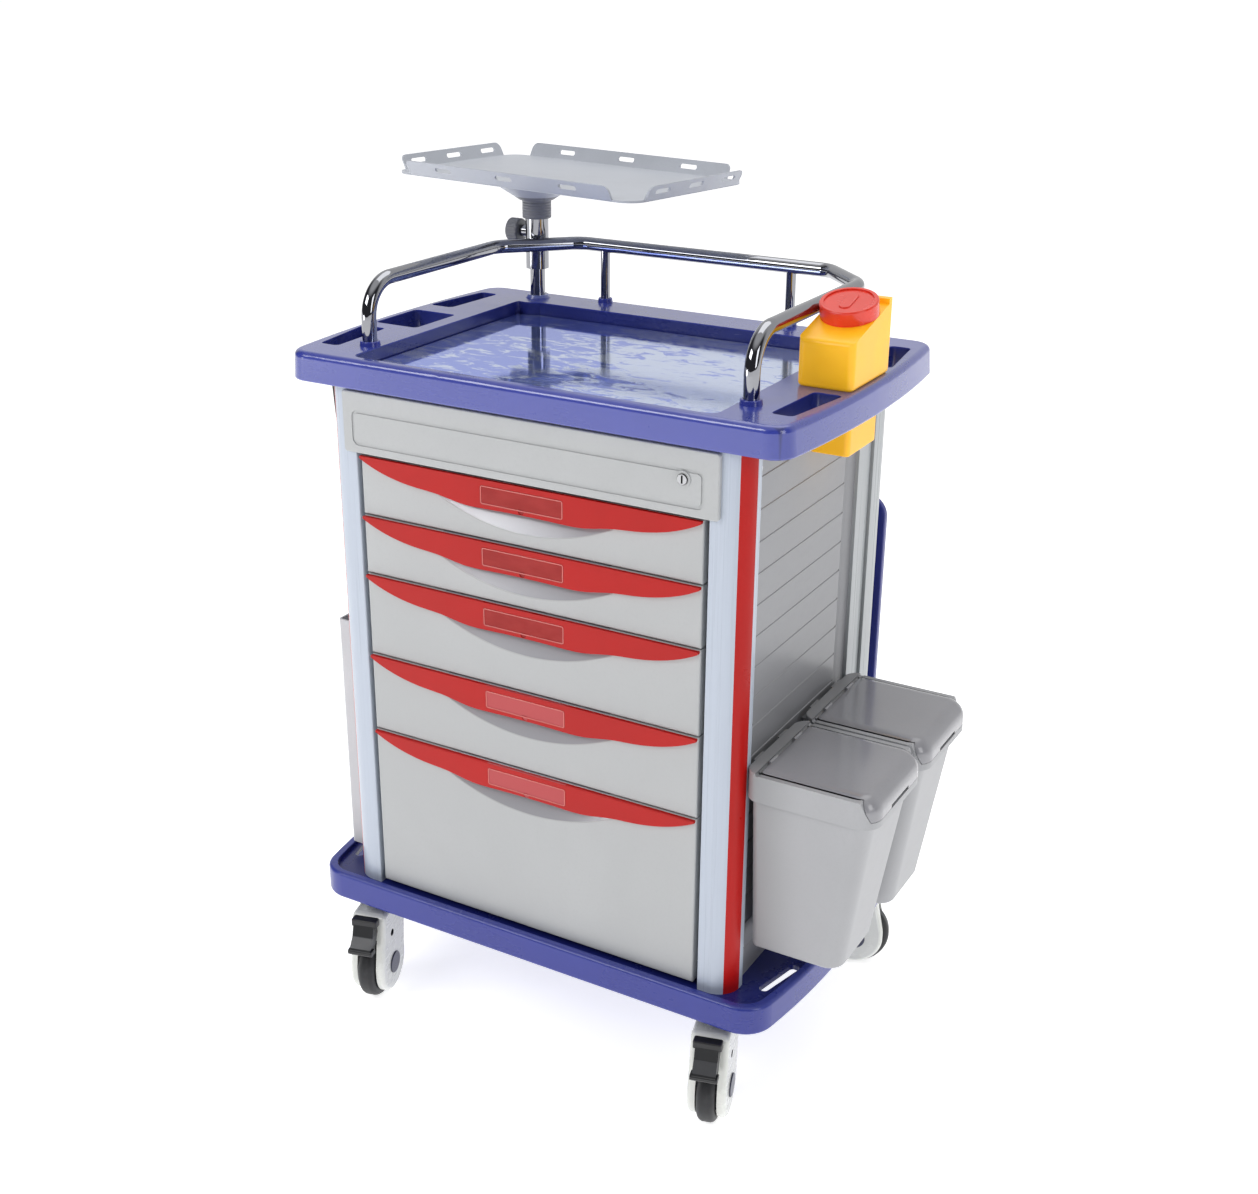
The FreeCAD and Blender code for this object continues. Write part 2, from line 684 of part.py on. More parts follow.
def make_post():
    foot_z = TABLE_TOP_Z - TABLE_EDGE_HEIGHT + 6
    post = rod(Vector(POST_X, POST_Y, foot_z), Vector(POST_X, POST_Y, COLLAR_TOP_Z - 18), POST_RADIUS)
    return soften(post, 1.0, at_height(COLLAR_TOP_Z - 18))


def make_sleeve():
    low = Vector(POST_X, POST_Y, SLEEVE_BOTTOM_Z)
    high = Vector(POST_X, POST_Y, COLLAR_TOP_Z - 4)
    sleeve = rod(low, high, SLEEVE_RADIUS)
    boss = rod(Vector(POST_X, POST_Y, KNOB_Z), Vector(POST_X - 24, POST_Y, KNOB_Z), 8.0)
    bore = rod(low - Vector(0, 0, 5), high + Vector(0, 0, 5), POST_RADIUS + RUNNING_GAP)
    screw = rod(Vector(POST_X, POST_Y, KNOB_Z), Vector(POST_X - 44, POST_Y, KNOB_Z), 4.0 + RUNNING_GAP)
    return fuse([sleeve, boss]).cut([bore, screw])


def make_knob():
    inner_x = POST_X - 25.5
    outer_x = POST_X - 43.5
    head = rod(Vector(inner_x, POST_Y, KNOB_Z), Vector(outer_x, POST_Y, KNOB_Z), KNOB_RADIUS)
    head = soften(head, 2.5, lambda edge: edge.BoundBox.XLength < 0.01)
    flutes = []
    flute_count = 14
    for index in range(flute_count):
        turn = 2 * math.pi * index / flute_count
        y = POST_Y + (KNOB_RADIUS + 0.9) * math.cos(turn)
        z = KNOB_Z + (KNOB_RADIUS + 0.9) * math.sin(turn)
        flutes.append(rod(Vector(inner_x + 1, y, z), Vector(outer_x - 1, y, z), 1.8))
    head = head.cut(flutes)
    tip_x = POST_X - POST_RADIUS - 0.4
    screw = rod(Vector(inner_x, POST_Y, KNOB_Z), Vector(tip_x, POST_Y, KNOB_Z), 4.0)
    return fuse([head, screw])


def make_collar():
    """Cap over the sleeve with a shallow dish that carries the tray."""
    centre = Vector(POST_X, POST_Y, 0)
    low = centre + Vector(0, 0, COLLAR_BOTTOM_Z)
    neck_top = centre + Vector(0, 0, COLLAR_TOP_Z)
    body = rod(low, neck_top, COLLAR_RADIUS)
    body = soften(body, 1.2, at_height(COLLAR_BOTTOM_Z))
    dish = cone(neck_top, centre + Vector(0, 0, TRAY_Z), 24.0, 72.0)
    bore = rod(low - Vector(0, 0, 5), centre + Vector(0, 0, COLLAR_TOP_Z - 3.9), SLEEVE_RADIUS + RUNNING_GAP)
    return fuse([body, dish]).cut(bore)


def turn_about_post(shape):
    shape.rotate(Vector(POST_X, POST_Y, 0), Vector(0, 0, 1), TRAY_ANGLE)
    return shape


def make_lip(length, slot_pitch):
    """One flared edge of the tray, along X, rising from a fold on the X axis towards -Y."""
    end_radius = 9.0
    half = length / 2.0
    fold = 5.0
    height = TRAY_LIP_HEIGHT
    flare = TRAY_LIP_FLARE
    section = [
        Vector(0, fold, 0),
        Vector(0, 0, 0),
        Vector(0, -flare, height),
        Vector(0, -flare + TRAY_THICKNESS, height),
        Vector(0, TRAY_THICKNESS * 0.55, TRAY_THICKNESS),
        Vector(0, fold, TRAY_THICKNESS),
    ]
    strip = prism(section, [0, 5.0, 0.8, 0.8, 2.0, 0], Vector(length, 0, 0))
    strip.translate(Vector(-half, 0, 0))
    # Rounded upper corners and long slots, cut straight through from the front.
    blank = prism(
        [Vector(-half, -40, -5), Vector(half, -40, -5), Vector(half, -40, height + 0.01),
         Vector(-half, -40, height + 0.01)],
        [0, 0, end_radius, end_radius],
        Vector(0, 80, 0),
    )
    strip = strip.common(blank)
    slot_half = 14.5
    for centre in (-slot_pitch, 0.0, slot_pitch):
        strip = strip.cut(
            rounded_plate_xz(centre - slot_half, centre + slot_half, 9.0, 15.0, -40, 40, 2.9)
        )
    return strip


def make_tray():
    centre_x = POST_X + TRAY_OFFSET
    centre_y = POST_Y + TRAY_SIDE_OFFSET
    half_x = TRAY_HALF_LENGTH
    half_y = TRAY_HALF_WIDTH
    plate = rounded_box(
        centre_x - half_x, centre_x + half_x, centre_y - half_y, centre_y + half_y,
        TRAY_Z, TRAY_Z + TRAY_THICKNESS, 26.0,
    )
    long_lip = 2 * half_x - 67.0
    short_lip = 2 * half_y - 47.0
    long_pitch = 110.0
    short_pitch = 70.0
    shapes = [plate]
    for turn, length, pitch, reach in (
        (0, long_lip, long_pitch, half_y), (180, long_lip, long_pitch, half_y),
        (90, short_lip, short_pitch, half_x), (270, short_lip, short_pitch, half_x),
    ):
        lip = make_lip(length, pitch)
        lip.translate(Vector(0, -reach, TRAY_Z))
        lip.rotate(Vector(0, 0, 0), Vector(0, 0, 1), turn)
        lip.translate(Vector(centre_x, centre_y, 0))
        shapes.append(lip)
    return turn_about_post(fuse(shapes))


# ---- waste bins ---------------------------------------------------------------------------
LID_SEAT_Z = BIN_TOP_Z - 3.5
BRACKET_TOP_Z = 497.5
CURL_X = BIN_OUTER_X - 19.0
CURL_Z = BIN_TOP_Z - 29.0
LID_WALL = 3.0
LID_ROUND = 20.0


def bin_ring(x0, x1, y0, y1, z, inner_radius, outer_radius):
    corners = [Vector(x0, y0, z), Vector(x1, y0, z), Vector(x1, y1, z), Vector(x0, y1, z)]
    return rounded_wire(corners, [inner_radius, outer_radius, outer_radius, inner_radius])


def bin_loft(front_y, inset, z_low, z_high):
    """Tapered bucket shape between two heights."""
    taper = 22.0
    low = bin_ring(
        BIN_INNER_X + inset, 415.0 - inset, front_y + taper + inset,
        front_y + BIN_DEPTH - taper - inset, z_low, 10.0, 22.0 - inset,
    )
    high = bin_ring(
        BIN_INNER_X + inset, BIN_OUTER_X - 5.0 - inset, front_y + 4.0 + inset,
        front_y + BIN_DEPTH - 4.0 - inset, z_high, 10.0, 26.0 - inset,
    )
    return Part.makeLoft([low, high], True, True)


def bin_top_block(front_y, z0, z1, inset=0.0, inner_x=BIN_INNER_X, inner_radius=12.0):
    wire = bin_ring(
        inner_x + inset, BIN_OUTER_X - inset, front_y + inset, front_y + BIN_DEPTH - inset,
        z0, inner_radius, 26.0 - inset,
    )
    return Part.Face(wire).extrude(Vector(0, 0, z1 - z0))


def curl_zone(gap):
    """Space of the lid's curled end: its inner boundary slopes outwards on the way down."""
    side_view = [
        Vector(CURL_X - gap, -400, 600), Vector(CURL_X - gap, -400, LID_SEAT_Z),
        Vector(CURL_X + 12 - gap, -400, CURL_Z - gap), Vector(600, -400, CURL_Z - gap),
        Vector(600, -400, 600),
    ]
    return prism(side_view, 0, Vector(0, 800, 0))


def make_bin(front_y):
    rim_low = BIN_TOP_Z - 38.0
    body = bin_loft(front_y, 0.0, BIN_BOTTOM_Z, LID_SEAT_Z - 2)
    body = soften(body, 5.0, at_height(BIN_BOTTOM_Z))
    rim = bin_top_block(front_y, rim_low, LID_SEAT_Z, 0.0, BIN_RIM_X, 20.0)
    strip = bin_top_block(front_y, LID_SEAT_Z - 1, BIN_TOP_Z - 0.5, 0.0, BIN_RIM_X, 20.0)
    strip = soften(strip, 1.5, at_height(BIN_TOP_Z - 0.5))
    strip = strip.common(box(0, BIN_HINGE_X - 2.6, -400, 400, 0, 600))
    ledge = box(
        BIN_INNER_X, BIN_HINGE_X - 1.0, front_y + 12, front_y + BIN_DEPTH - 12,
        LID_SEAT_Z - 6, LID_SEAT_Z,
    )
    rail_pocket = box(0, BIN_INNER_X - 1.0, front_y + 13, front_y + BIN_DEPTH - 13, 0, BRACKET_TOP_Z + 1)
    body = fuse([body, rim.cut(rail_pocket)])
    hollow = bin_loft(front_y, BIN_WALL, BIN_BOTTOM_Z + BIN_WALL, LID_SEAT_Z + 4)
    body = body.cut([hollow, curl_zone(0.6)])
    middle = front_y + BIN_DEPTH / 2
    pin_z = BIN_TOP_Z - 2
    groove = rod(Vector(BIN_HINGE_X, front_y, pin_z), Vector(BIN_HINGE_X, front_y + 200, pin_z), 2.7)
    hooks = []
    for y in (middle - 34, middle + 34):
        hooks.append(box(287.6, 290.0, y - 12, y + 12, 489.5, LID_SEAT_Z + 1.5))
        hooks.append(box(287.6, BIN_INNER_X, y - 12, y + 12, LID_SEAT_Z - 1, LID_SEAT_Z + 1.5))
    return fuse([body, strip, ledge] + hooks).cut(groove)


def make_bin_lid(front_y):
    middle = front_y + BIN_DEPTH / 2
    shell = bin_top_block(front_y, CURL_Z, BIN_TOP_Z)
    shell = soften(
        shell, LID_ROUND,
        lambda edge: at_height(BIN_TOP_Z)(edge) and edge.BoundBox.XMax > CURL_X,
    )
    under = box(0, 600, -400, 400, 0, LID_SEAT_Z + 0.5).cut(curl_zone(0.0))
    inner = bin_top_block(front_y, CURL_Z - 5, LID_SEAT_Z + 0.5, LID_WALL)
    inner = soften(
        inner, LID_ROUND - LID_WALL,
        lambda edge: at_height(LID_SEAT_Z + 0.5)(edge) and edge.BoundBox.XMax > CURL_X,
    )
    finger = box(CURL_X, 600, middle - 27, middle + 27, 0, CURL_Z + 4.5)
    hinge_side = box(0, BIN_HINGE_X + 1.0, -400, 400, 0, 600)
    lid = shell.cut([under, inner, finger, hinge_side])
    barrels = []
    for y in (middle - 45, middle + 25):
        barrels.append(
            rod(Vector(BIN_HINGE_X, y, BIN_TOP_Z - 2), Vector(BIN_HINGE_X, y + 20, BIN_TOP_Z - 2), 2.2)
        )
    return fuse([lid] + barrels)


def make_brackets():
    """A rail that each bin hooks over, and the hooks that hold the resuscitation board."""
    shapes = []
    for front_y in BIN_FRONT_Y:
        near = front_y + 23.0
        far = front_y + BIN_DEPTH - 17.0
        shapes.append(fuse([
            box(PANEL_FACE_X, 284.5, near, far, 452, 489),
            box(284.0, 293.5, near, far, 486.5, 489),
            box(291.2, 293.5, near, far, 486.5, BRACKET_TOP_Z),
        ]))
    for x in (-190, 190):
        shapes.append(fuse([
            box(x - 15, x + 15, 208, 210.5, 270, 330),
            box(x - 15, x + 15, 208, 243.5, BOARD_BOTTOM_Z - 3.5, BOARD_BOTTOM_Z - 0.5),
            box(x - 15, x + 15, 241, 243.5, BOARD_BOTTOM_Z - 3.5, BOARD_BOTTOM_Z + 16),
        ]))
        shapes.append(fuse([
            box(x - 15, x + 15, 208, 210.5, 560, 640),
            box(x - 15, x + 15, 208, 226.0, 620, 623),
        ]))
    return shapes


BOARD_BOTTOM_Z = 290.0
BOARD_TOP_Z = 712.0


def make_board():
    half_width = 286.0
    board = rounded_plate_xz(-half_width, half_width, BOARD_BOTTOM_Z, BOARD_TOP_Z, 228.5, 238.5, 30.0)
    board = soften(board, 2.0, lambda edge: at_y(228.5)(edge) or at_y(238.5)(edge))
    grip_z = BOARD_TOP_Z - 45
    grips = [
        rounded_plate_xz(x - 50, x + 50, grip_z - 14, grip_z + 14, 200, 260, 13.9)
        for x in (-150, 150)
    ]
    return board.cut(grips)


def make_storage_box():
    outer = rounded_box(-331, -291, -170, 130, 206, 550, 5.0)
    outer = soften(outer, 1.5, at_height(206.0))
    inner = rounded_box(-328.5, -293.5, -167.5, 127.5, 208.5, 560, 3.0)
    mounts = [
        box(-291.5, -PANEL_FACE_X, y - 15, y + 15, z - 12, z + 12)
        for y in (-120, 80)
        for z in (280, 500)
    ]
    shell = outer.cut(inner)
    return fuse([shell] + mounts)


def make_hook():
    """Flat hook for cables under the left end of the top."""
    points = [Vector(-290, -184, 890), Vector(-305, -184, 890), Vector(-301, -184, 838),
              Vector(-297, -184, 836), Vector(-290, -184, 846)]
    blade = prism(points, [0, 1, 2, 2, 0], Vector(0, 5, 0))
    return blade


# ---- sharps container ---------------------------------------------------------------------
SHARPS_SHELL = 2.0
SHARPS_LEFT_X = 272.4
SHARPS_RIGHT_X = 341.4
SHARPS_FRONT_Y = -59.0
SHARPS_BACK_Y = 57.0
SHARPS_TOWER_Y = 42.0
SHARPS_TOWER_Z = 1019.0
SHARPS_SEAT_Z = 930.5
SHARPS_FRONT_TOP_Z = 986.0
# The top slopes down to the front; the lid and its neck stand square on the slope.
SHARPS_TILT = 15.0
LID_CENTRE = Vector(307.0, 7.0, 1003.7)
SHARPS_LID_RADIUS = 34.4
SHARPS_LID_HEIGHT = 18.0
SHARPS_NECK_RADIUS = 28.0
SHARPS_NECK_HEIGHT = 12.0


def sharps_body(inset):
    """Outer form of the container, or its inside with an inset."""
    i = inset
    x0 = SHARPS_LEFT_X + i
    x1 = SHARPS_RIGHT_X - i
    front = SHARPS_FRONT_Y + i
    back = SHARPS_BACK_Y - i
    tower = SHARPS_TOWER_Y + i
    low = SHARPS_SEAT_Z + i
    shoulder_z = SHARPS_FRONT_TOP_Z - i
    rise = (tower - front) * math.tan(math.radians(SHARPS_TILT))
    side_view = [
        Vector(x0, front, low), Vector(x0, front, shoulder_z), Vector(x0, tower, shoulder_z + rise),
        Vector(x0, tower, SHARPS_TOWER_Z - i), Vector(x0, back, SHARPS_TOWER_Z - i),
        Vector(x0, back, low),
    ]
    upper = prism(side_view, [0, 7.0, 0, 0, 4.0, 0], Vector(x1 - x0, 0, 0))
    upper = upper.common(rounded_box(x0, x1, front, back, low, SHARPS_TOWER_Z, 8.0))
    upper = soften(upper, 4.0, at_height(low))
    lower = rounded_box(284 + i, 334 - i, -40 + i, 46 - i, 848 + i, SHARPS_SEAT_Z + 4, 6.0)
    lower = soften(lower, 2.0, at_height(848 + i))
    return fuse([lower, upper])


def on_slope(shape):
    """Lean a shape that stands upright at the lid's centre with the container's top."""
    shape.rotate(LID_CENTRE, Vector(1, 0, 0), SHARPS_TILT)
    return shape


def lid_post(z0, z1, radius):
    """Round bar at the lid's centre between two heights over the slope."""
    return rod(LID_CENTRE + Vector(0, 0, z0), LID_CENTRE + Vector(0, 0, z1), radius)


def make_sharps_box():
    neck = on_slope(lid_post(-8.0, SHARPS_NECK_HEIGHT, SHARPS_NECK_RADIUS))
    mouth = on_slope(lid_post(-22.0, SHARPS_NECK_HEIGHT + 5, SHARPS_NECK_RADIUS - SHARPS_SHELL))
    body = fuse([sharps_body(0.0), neck])
    return body.cut([sharps_body(SHARPS_SHELL), mouth])


def make_sharps_lid():
    low = 0.6
    high = low + SHARPS_LID_HEIGHT
    top_z = LID_CENTRE.z + high
    cap = lid_post(low, high, SHARPS_LID_RADIUS)
    cap = soften(cap, 2.5, at_height(top_z))
    hollow = lid_post(low - 5, high - 4, SHARPS_NECK_RADIUS + RUNNING_GAP)
    dish = lid_post(high - 1.8, high + 10, 29.0)
    bar = rounded_box(
        LID_CENTRE.x - 7, LID_CENTRE.x + 7, LID_CENTRE.y - 19, LID_CENTRE.y + 19,
        top_z - 3, top_z - 0.3, 6.9,
    )
    bar = soften(bar, 1.2, at_height(top_z - 0.3))
    return on_slope(fuse([cap.cut([hollow, dish]), bar]))


# ---- casters ------------------------------------------------------------------------------
def place_caster(shape, caster):
    """Move a part built about the swivel axis, wheel ahead along -Y, to its corner."""
    x, y, heading = caster
    shape.rotate(Vector(0, 0, 0), Vector(0, 0, 1), heading)
    shape.translate(Vector(x, y, 0))
    return shape


def fork_blank():
    """Fork cover before it is hollowed: round about the axle, flat on top."""
    front_y = -CASTER_TRAIL - 41.0
    rear_y = -CASTER_TRAIL + 41.0
    low_z = WHEEL_RADIUS - 41.0
    side_view = [
        Vector(-25, -50, FORK_TOP_Z),
        Vector(-25, front_y, 62),
        Vector(-25, front_y, low_z),
        Vector(-25, rear_y, low_z),
        Vector(-25, rear_y, 62),
        Vector(-25, 24, FORK_TOP_Z),
    ]
    blank = prism(side_view, [10.0, 50.0, 40.9, 40.9, 50.0, 10.0], Vector(50, 0, 0))
    return soften(blank, 6.0, lambda e: e.BoundBox.XLength < 0.01)


PLATE_BOTTOM_Z = BASE_BOTTOM_Z - 3.2
STEM_FOOT_Z = 118.0
PEDAL_PIN_Y = -59.0
PEDAL_BACK_Y = -55.2
PEDAL_PIN_Z = 125.0


def make_fork(braked):
    body = fork_blank()
    well = box(-WELL_HALF_WIDTH, WELL_HALF_WIDTH, -120, 120, -10, 104)
    bore = Part.makeCylinder(STEM_RADIUS + RUNNING_GAP, 60, Vector(0, 0, STEM_FOOT_Z - 3))
    body = body.cut([well, bore])
    axle_y = -CASTER_TRAIL
    for side in (1, -1):
        body = body.cut(rod(Vector(side * 22.5, axle_y - 3, 101), Vector(side * 30, axle_y - 3, 101), 5.2))
    axle = rod(Vector(-20, axle_y, WHEEL_RADIUS), Vector(20, axle_y, WHEEL_RADIUS), AXLE_RADIUS)
    pieces = [body, axle]
    if braked:
        pieces.append(box(-5, 5, PEDAL_PIN_Y - 3.5, -45, PEDAL_PIN_Z - 3.5, PEDAL_PIN_Z + 3.5))
        pieces.append(rod(Vector(-13, PEDAL_PIN_Y, PEDAL_PIN_Z), Vector(13, PEDAL_PIN_Y, PEDAL_PIN_Z), 2.6))
    fork = fuse(pieces)
    caps = []
    for side in (1, -1):
        cap = rod(Vector(side * 25, axle_y, WHEEL_RADIUS), Vector(side * 27, axle_y, WHEEL_RADIUS), 15.5)
        caps.append(soften(cap, 1.0, lambda e, s=side: abs(e.BoundBox.XMin - s * 27) < 0.01))
    head_top = PLATE_BOTTOM_Z - 2.3
    head = Part.makeCylinder(22.0, head_top - FORK_TOP_Z, Vector(0, 0, FORK_TOP_Z))
    head = soften(head, 3.0, at_height(head_top))
    head = head.cut(Part.makeCylinder(STEM_RADIUS + RUNNING_GAP, 60, Vector(0, 0, STEM_FOOT_Z)))
    return [fork, head] + caps


def make_tyre():
    centre = Vector(-WHEEL_WIDTH / 2, -CASTER_TRAIL, WHEEL_RADIUS)
    tyre = Part.makeCylinder(WHEEL_RADIUS, WHEEL_WIDTH, centre, Vector(1, 0, 0))
    tyre = soften(tyre, 8.0, lambda e: e.BoundBox.XLength < 0.01)
    return tyre.cut(Part.makeCylinder(HUB_RADIUS, 60, centre - Vector(10, 0, 0), Vector(1, 0, 0)))


def make_hub():
    centre = Vector(0, -CASTER_TRAIL, WHEEL_RADIUS)
    across = Vector(1, 0, 0)
    disc = Part.makeCylinder(HUB_RADIUS, 21, centre - across * 10.5, across)
    dish = Part.makeCylinder(HUB_RADIUS - 4, 30, centre + across * 4, across)
    disc = disc.cut([dish, dish.mirror(Vector(0, 0, 0), across)])
    nave_half = WELL_HALF_WIDTH - 0.5
    nave = Part.makeCylinder(11, 2 * nave_half, centre - across * nave_half, across)
    bore = Part.makeCylinder(AXLE_RADIUS + RUNNING_GAP, 60, centre - across * 30, across)
    return fuse([disc, nave]).cut(bore)


def make_pedal():
    """Brake lever that hangs in front of the wheel; heights are measured from its pin."""
    section = [
        (PEDAL_BACK_Y, 14), (-65, 14), (-73, -8), (-85, -22), (-85, -31), (-73, -33), (-61, -18),
        (PEDAL_BACK_Y, -6),
    ]
    points = [Vector(-15, y, PEDAL_PIN_Z + rise) for y, rise in section]
    lever = prism(points, [1, 3, 4, 3, 3, 4, 4, 1], Vector(30, 0, 0))
    cap_top = PEDAL_PIN_Z + 15
    cap = rounded_box(-18.5, 18.5, -67.5, PEDAL_BACK_Y + 1.7, cap_top - 10, cap_top, 3.0)
    cap = soften(cap, 2.0, at_height(cap_top))
    foot = box(-17.5, 17.5, -85.5, -72, PEDAL_PIN_Z - 30.5, PEDAL_PIN_Z - 23)
    foot = soften(foot, 2.5, lambda e: e.BoundBox.XLength > 30)
    lever = fuse([lever, cap, foot])
    slot = box(-6, 6, PEDAL_PIN_Y - 6.0, -40, PEDAL_PIN_Z - 12, PEDAL_PIN_Z + 6.0)
    bore = rod(
        Vector(-13.5, PEDAL_PIN_Y, PEDAL_PIN_Z), Vector(13.5, PEDAL_PIN_Y, PEDAL_PIN_Z), 2.6 + RUNNING_GAP
    )
    return lever.cut([slot, bore])


def make_caster_mount():
    plate = rounded_box(-30, 30, -30, 30, PLATE_BOTTOM_Z, BASE_BOTTOM_Z, 5.0)
    stem = Part.makeCylinder(STEM_RADIUS, BASE_BOTTOM_Z + 15 - STEM_FOOT_Z, Vector(0, 0, STEM_FOOT_Z))
    return fuse([plate, stem])


def dome_screw(x, y, z, radius, direction):
    """Screw head, seated on a surface at the point and facing along a direction."""
    foot = Vector(x, y, z)
    head = rod(foot, foot + direction * (radius * 0.55), radius)
    slot_depth = radius * 0.3
    socket = rod(foot + direction * (radius * 0.55 - slot_depth), foot + direction * radius, radius * 0.4)
    return head.cut(socket)


def make_screws():
    screws = []
    for x, y, _ in CASTERS.values():
        for dx in (-23, 23):
            for dy in (-23, 23):
                screws.append(dome_screw(x + dx, y + dy, PLATE_BOTTOM_Z, 4.0, Vector(0, 0, -1)))
    for side in (1, -1):
        for z in (236, 545, 862):
            screws.append(dome_screw(side * PANEL_FACE_X, -168, z, 3.5, Vector(side, 0, 0)))
    for x in (-232, 232):
        for z in (215, 545, 875):
            screws.append(dome_screw(x, 208, z, 3.5, Vector(0, 1, 0)))
    return screws


# ---- assembly -----------------------------------------------------------------------------
add("table_top", make_table())
add("clear_mat", make_mat())
add("base_tray", make_base())
add("columns", *make_columns())
stripe_solid = stripe(STRIPE_DEPTH - 0.1, COLUMN_BOTTOM_Z, COLUMN_TOP_Z)
add("column_stripes", stripe_solid, mirrored_x(stripe_solid))
side_panel = make_side_panel()
add("side_panel_right", side_panel)
add("side_panel_left", mirrored_x(side_panel))
add("back_panel", make_back_panel())
add("top_fascia", make_fascia())
add("slide_rails", *[
    make_slide_channel(side, slide_height(index))
    for index in range(len(DRAWER_TOPS))
    for side in (1, -1)
])
add("guard_rail", make_guard_rail())
add("rail_sockets", *make_rail_sockets())
add("tray_post", make_post())
add("brackets", *make_brackets())
add("storage_box", make_storage_box())
add("cable_hook", make_hook())
add("screws", *make_screws())
add("lock_plug", make_lock_plug())
add("lock_bar", make_lock_bar())
add("post_sleeve", make_sleeve())
add("tray_knob", make_knob())
add("tray_collar", make_collar())
add("swivel_tray", make_tray())
for name, front_y in zip(("front", "rear"), BIN_FRONT_Y):
    add("bin_" + name, make_bin(front_y))
    add("bin_" + name + "_lid", make_bin_lid(front_y))
add("sharps_box", make_sharps_box())
add("sharps_lid", make_sharps_lid())
add("cpr_board", make_board())
for index in range(len(DRAWER_TOPS)):
    label = "drawer_%d_" % (index + 1)
    add(label + "front", make_front(index))
    add(label + "pull", *make_pull(index))
    add(label + "box", *make_tub(index))
mounts = []
for corner, caster in CASTERS.items():
    braked = corner in ("fl", "fr")
    add("caster_" + corner + "_fork", *[place_caster(s, caster) for s in make_fork(braked)])
    add("caster_" + corner + "_tyre", place_caster(make_tyre(), caster))
    add("caster_" + corner + "_hub", place_caster(make_hub(), caster))
    if braked:
        add("caster_" + corner + "_pedal", place_caster(make_pedal(), caster))
    mounts.append(place_caster(make_caster_mount(), caster))
add("caster_mounts", *mounts)

# The origin goes to the floor under the middle of the overall box.
whole = Part.makeCompound([solid for solids in nodes.values() for solid in solids])
overall = whole.optimalBoundingBox(False)
shift = Vector(
    -(overall.XMin + overall.XMax) / 2.0,
    -(overall.YMin + overall.YMax) / 2.0,
    -overall.ZMin,
)

os.makedirs("parts", exist_ok=True)
for name, solids in nodes.items():
    for solid in solids:
        solid.translate(shift)
    shape = solids[0] if len(solids) == 1 else Part.makeCompound(solids)
    shape.exportStep("parts/" + name + ".step")
    good = all(solid.isValid() and solid.Volume > 0 for solid in solids)
    print(name, len(solids), "solids", round(shape.Volume / 1000.0, 1), "cm3", "" if good else "INVALID")
print("nodes", len(nodes), "shift", [round(value, 3) for value in shift])
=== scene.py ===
"""Looks of a clinic instrument cart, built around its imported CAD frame."""

import json
import math

import bmesh
import bpy
from mathutils import Matrix, Vector


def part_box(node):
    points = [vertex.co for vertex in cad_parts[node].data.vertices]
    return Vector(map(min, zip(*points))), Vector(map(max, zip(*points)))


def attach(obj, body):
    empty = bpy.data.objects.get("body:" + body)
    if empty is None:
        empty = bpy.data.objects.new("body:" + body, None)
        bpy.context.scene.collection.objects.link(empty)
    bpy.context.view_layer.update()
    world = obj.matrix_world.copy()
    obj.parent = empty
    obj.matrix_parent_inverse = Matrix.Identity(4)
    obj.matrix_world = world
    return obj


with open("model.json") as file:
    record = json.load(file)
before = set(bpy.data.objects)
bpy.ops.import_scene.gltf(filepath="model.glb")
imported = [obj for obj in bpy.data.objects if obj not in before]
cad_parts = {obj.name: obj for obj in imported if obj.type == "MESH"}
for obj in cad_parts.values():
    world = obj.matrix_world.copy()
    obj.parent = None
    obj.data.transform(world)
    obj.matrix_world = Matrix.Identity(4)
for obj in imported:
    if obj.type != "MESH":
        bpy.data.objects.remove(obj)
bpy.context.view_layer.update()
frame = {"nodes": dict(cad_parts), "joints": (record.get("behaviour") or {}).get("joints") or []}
nodes = frame["nodes"]
MM = 0.001


# ---- places that the frame gives ----------------------------------------------------------
columns_low, columns_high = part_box("columns")
CENTRE_X = (columns_low.x + columns_high.x) / 2
CENTRE_Y = (columns_low.y + columns_high.y) / 2
joints = {joint["name"]: joint for joint in frame["joints"]}
CORNERS = ("fl", "fr", "rl", "rr")
DRAWERS = (1, 2, 3, 4, 5)


def joint_place(name):
    return Vector(joints[name]["pos_m"])


def axle_heading(corner):
    """Angle about Z of a caster's axle, as it stands at rest."""
    x, y = joints[f"wheel_{corner}_spin"]["axis"][:2]
    return math.atan2(y, x)


def under_swivel(corner):
    """Point on the floor under a caster's swivel."""
    place = joint_place(f"caster_{corner}_swivel")
    return (place.x, place.y, 0.0)


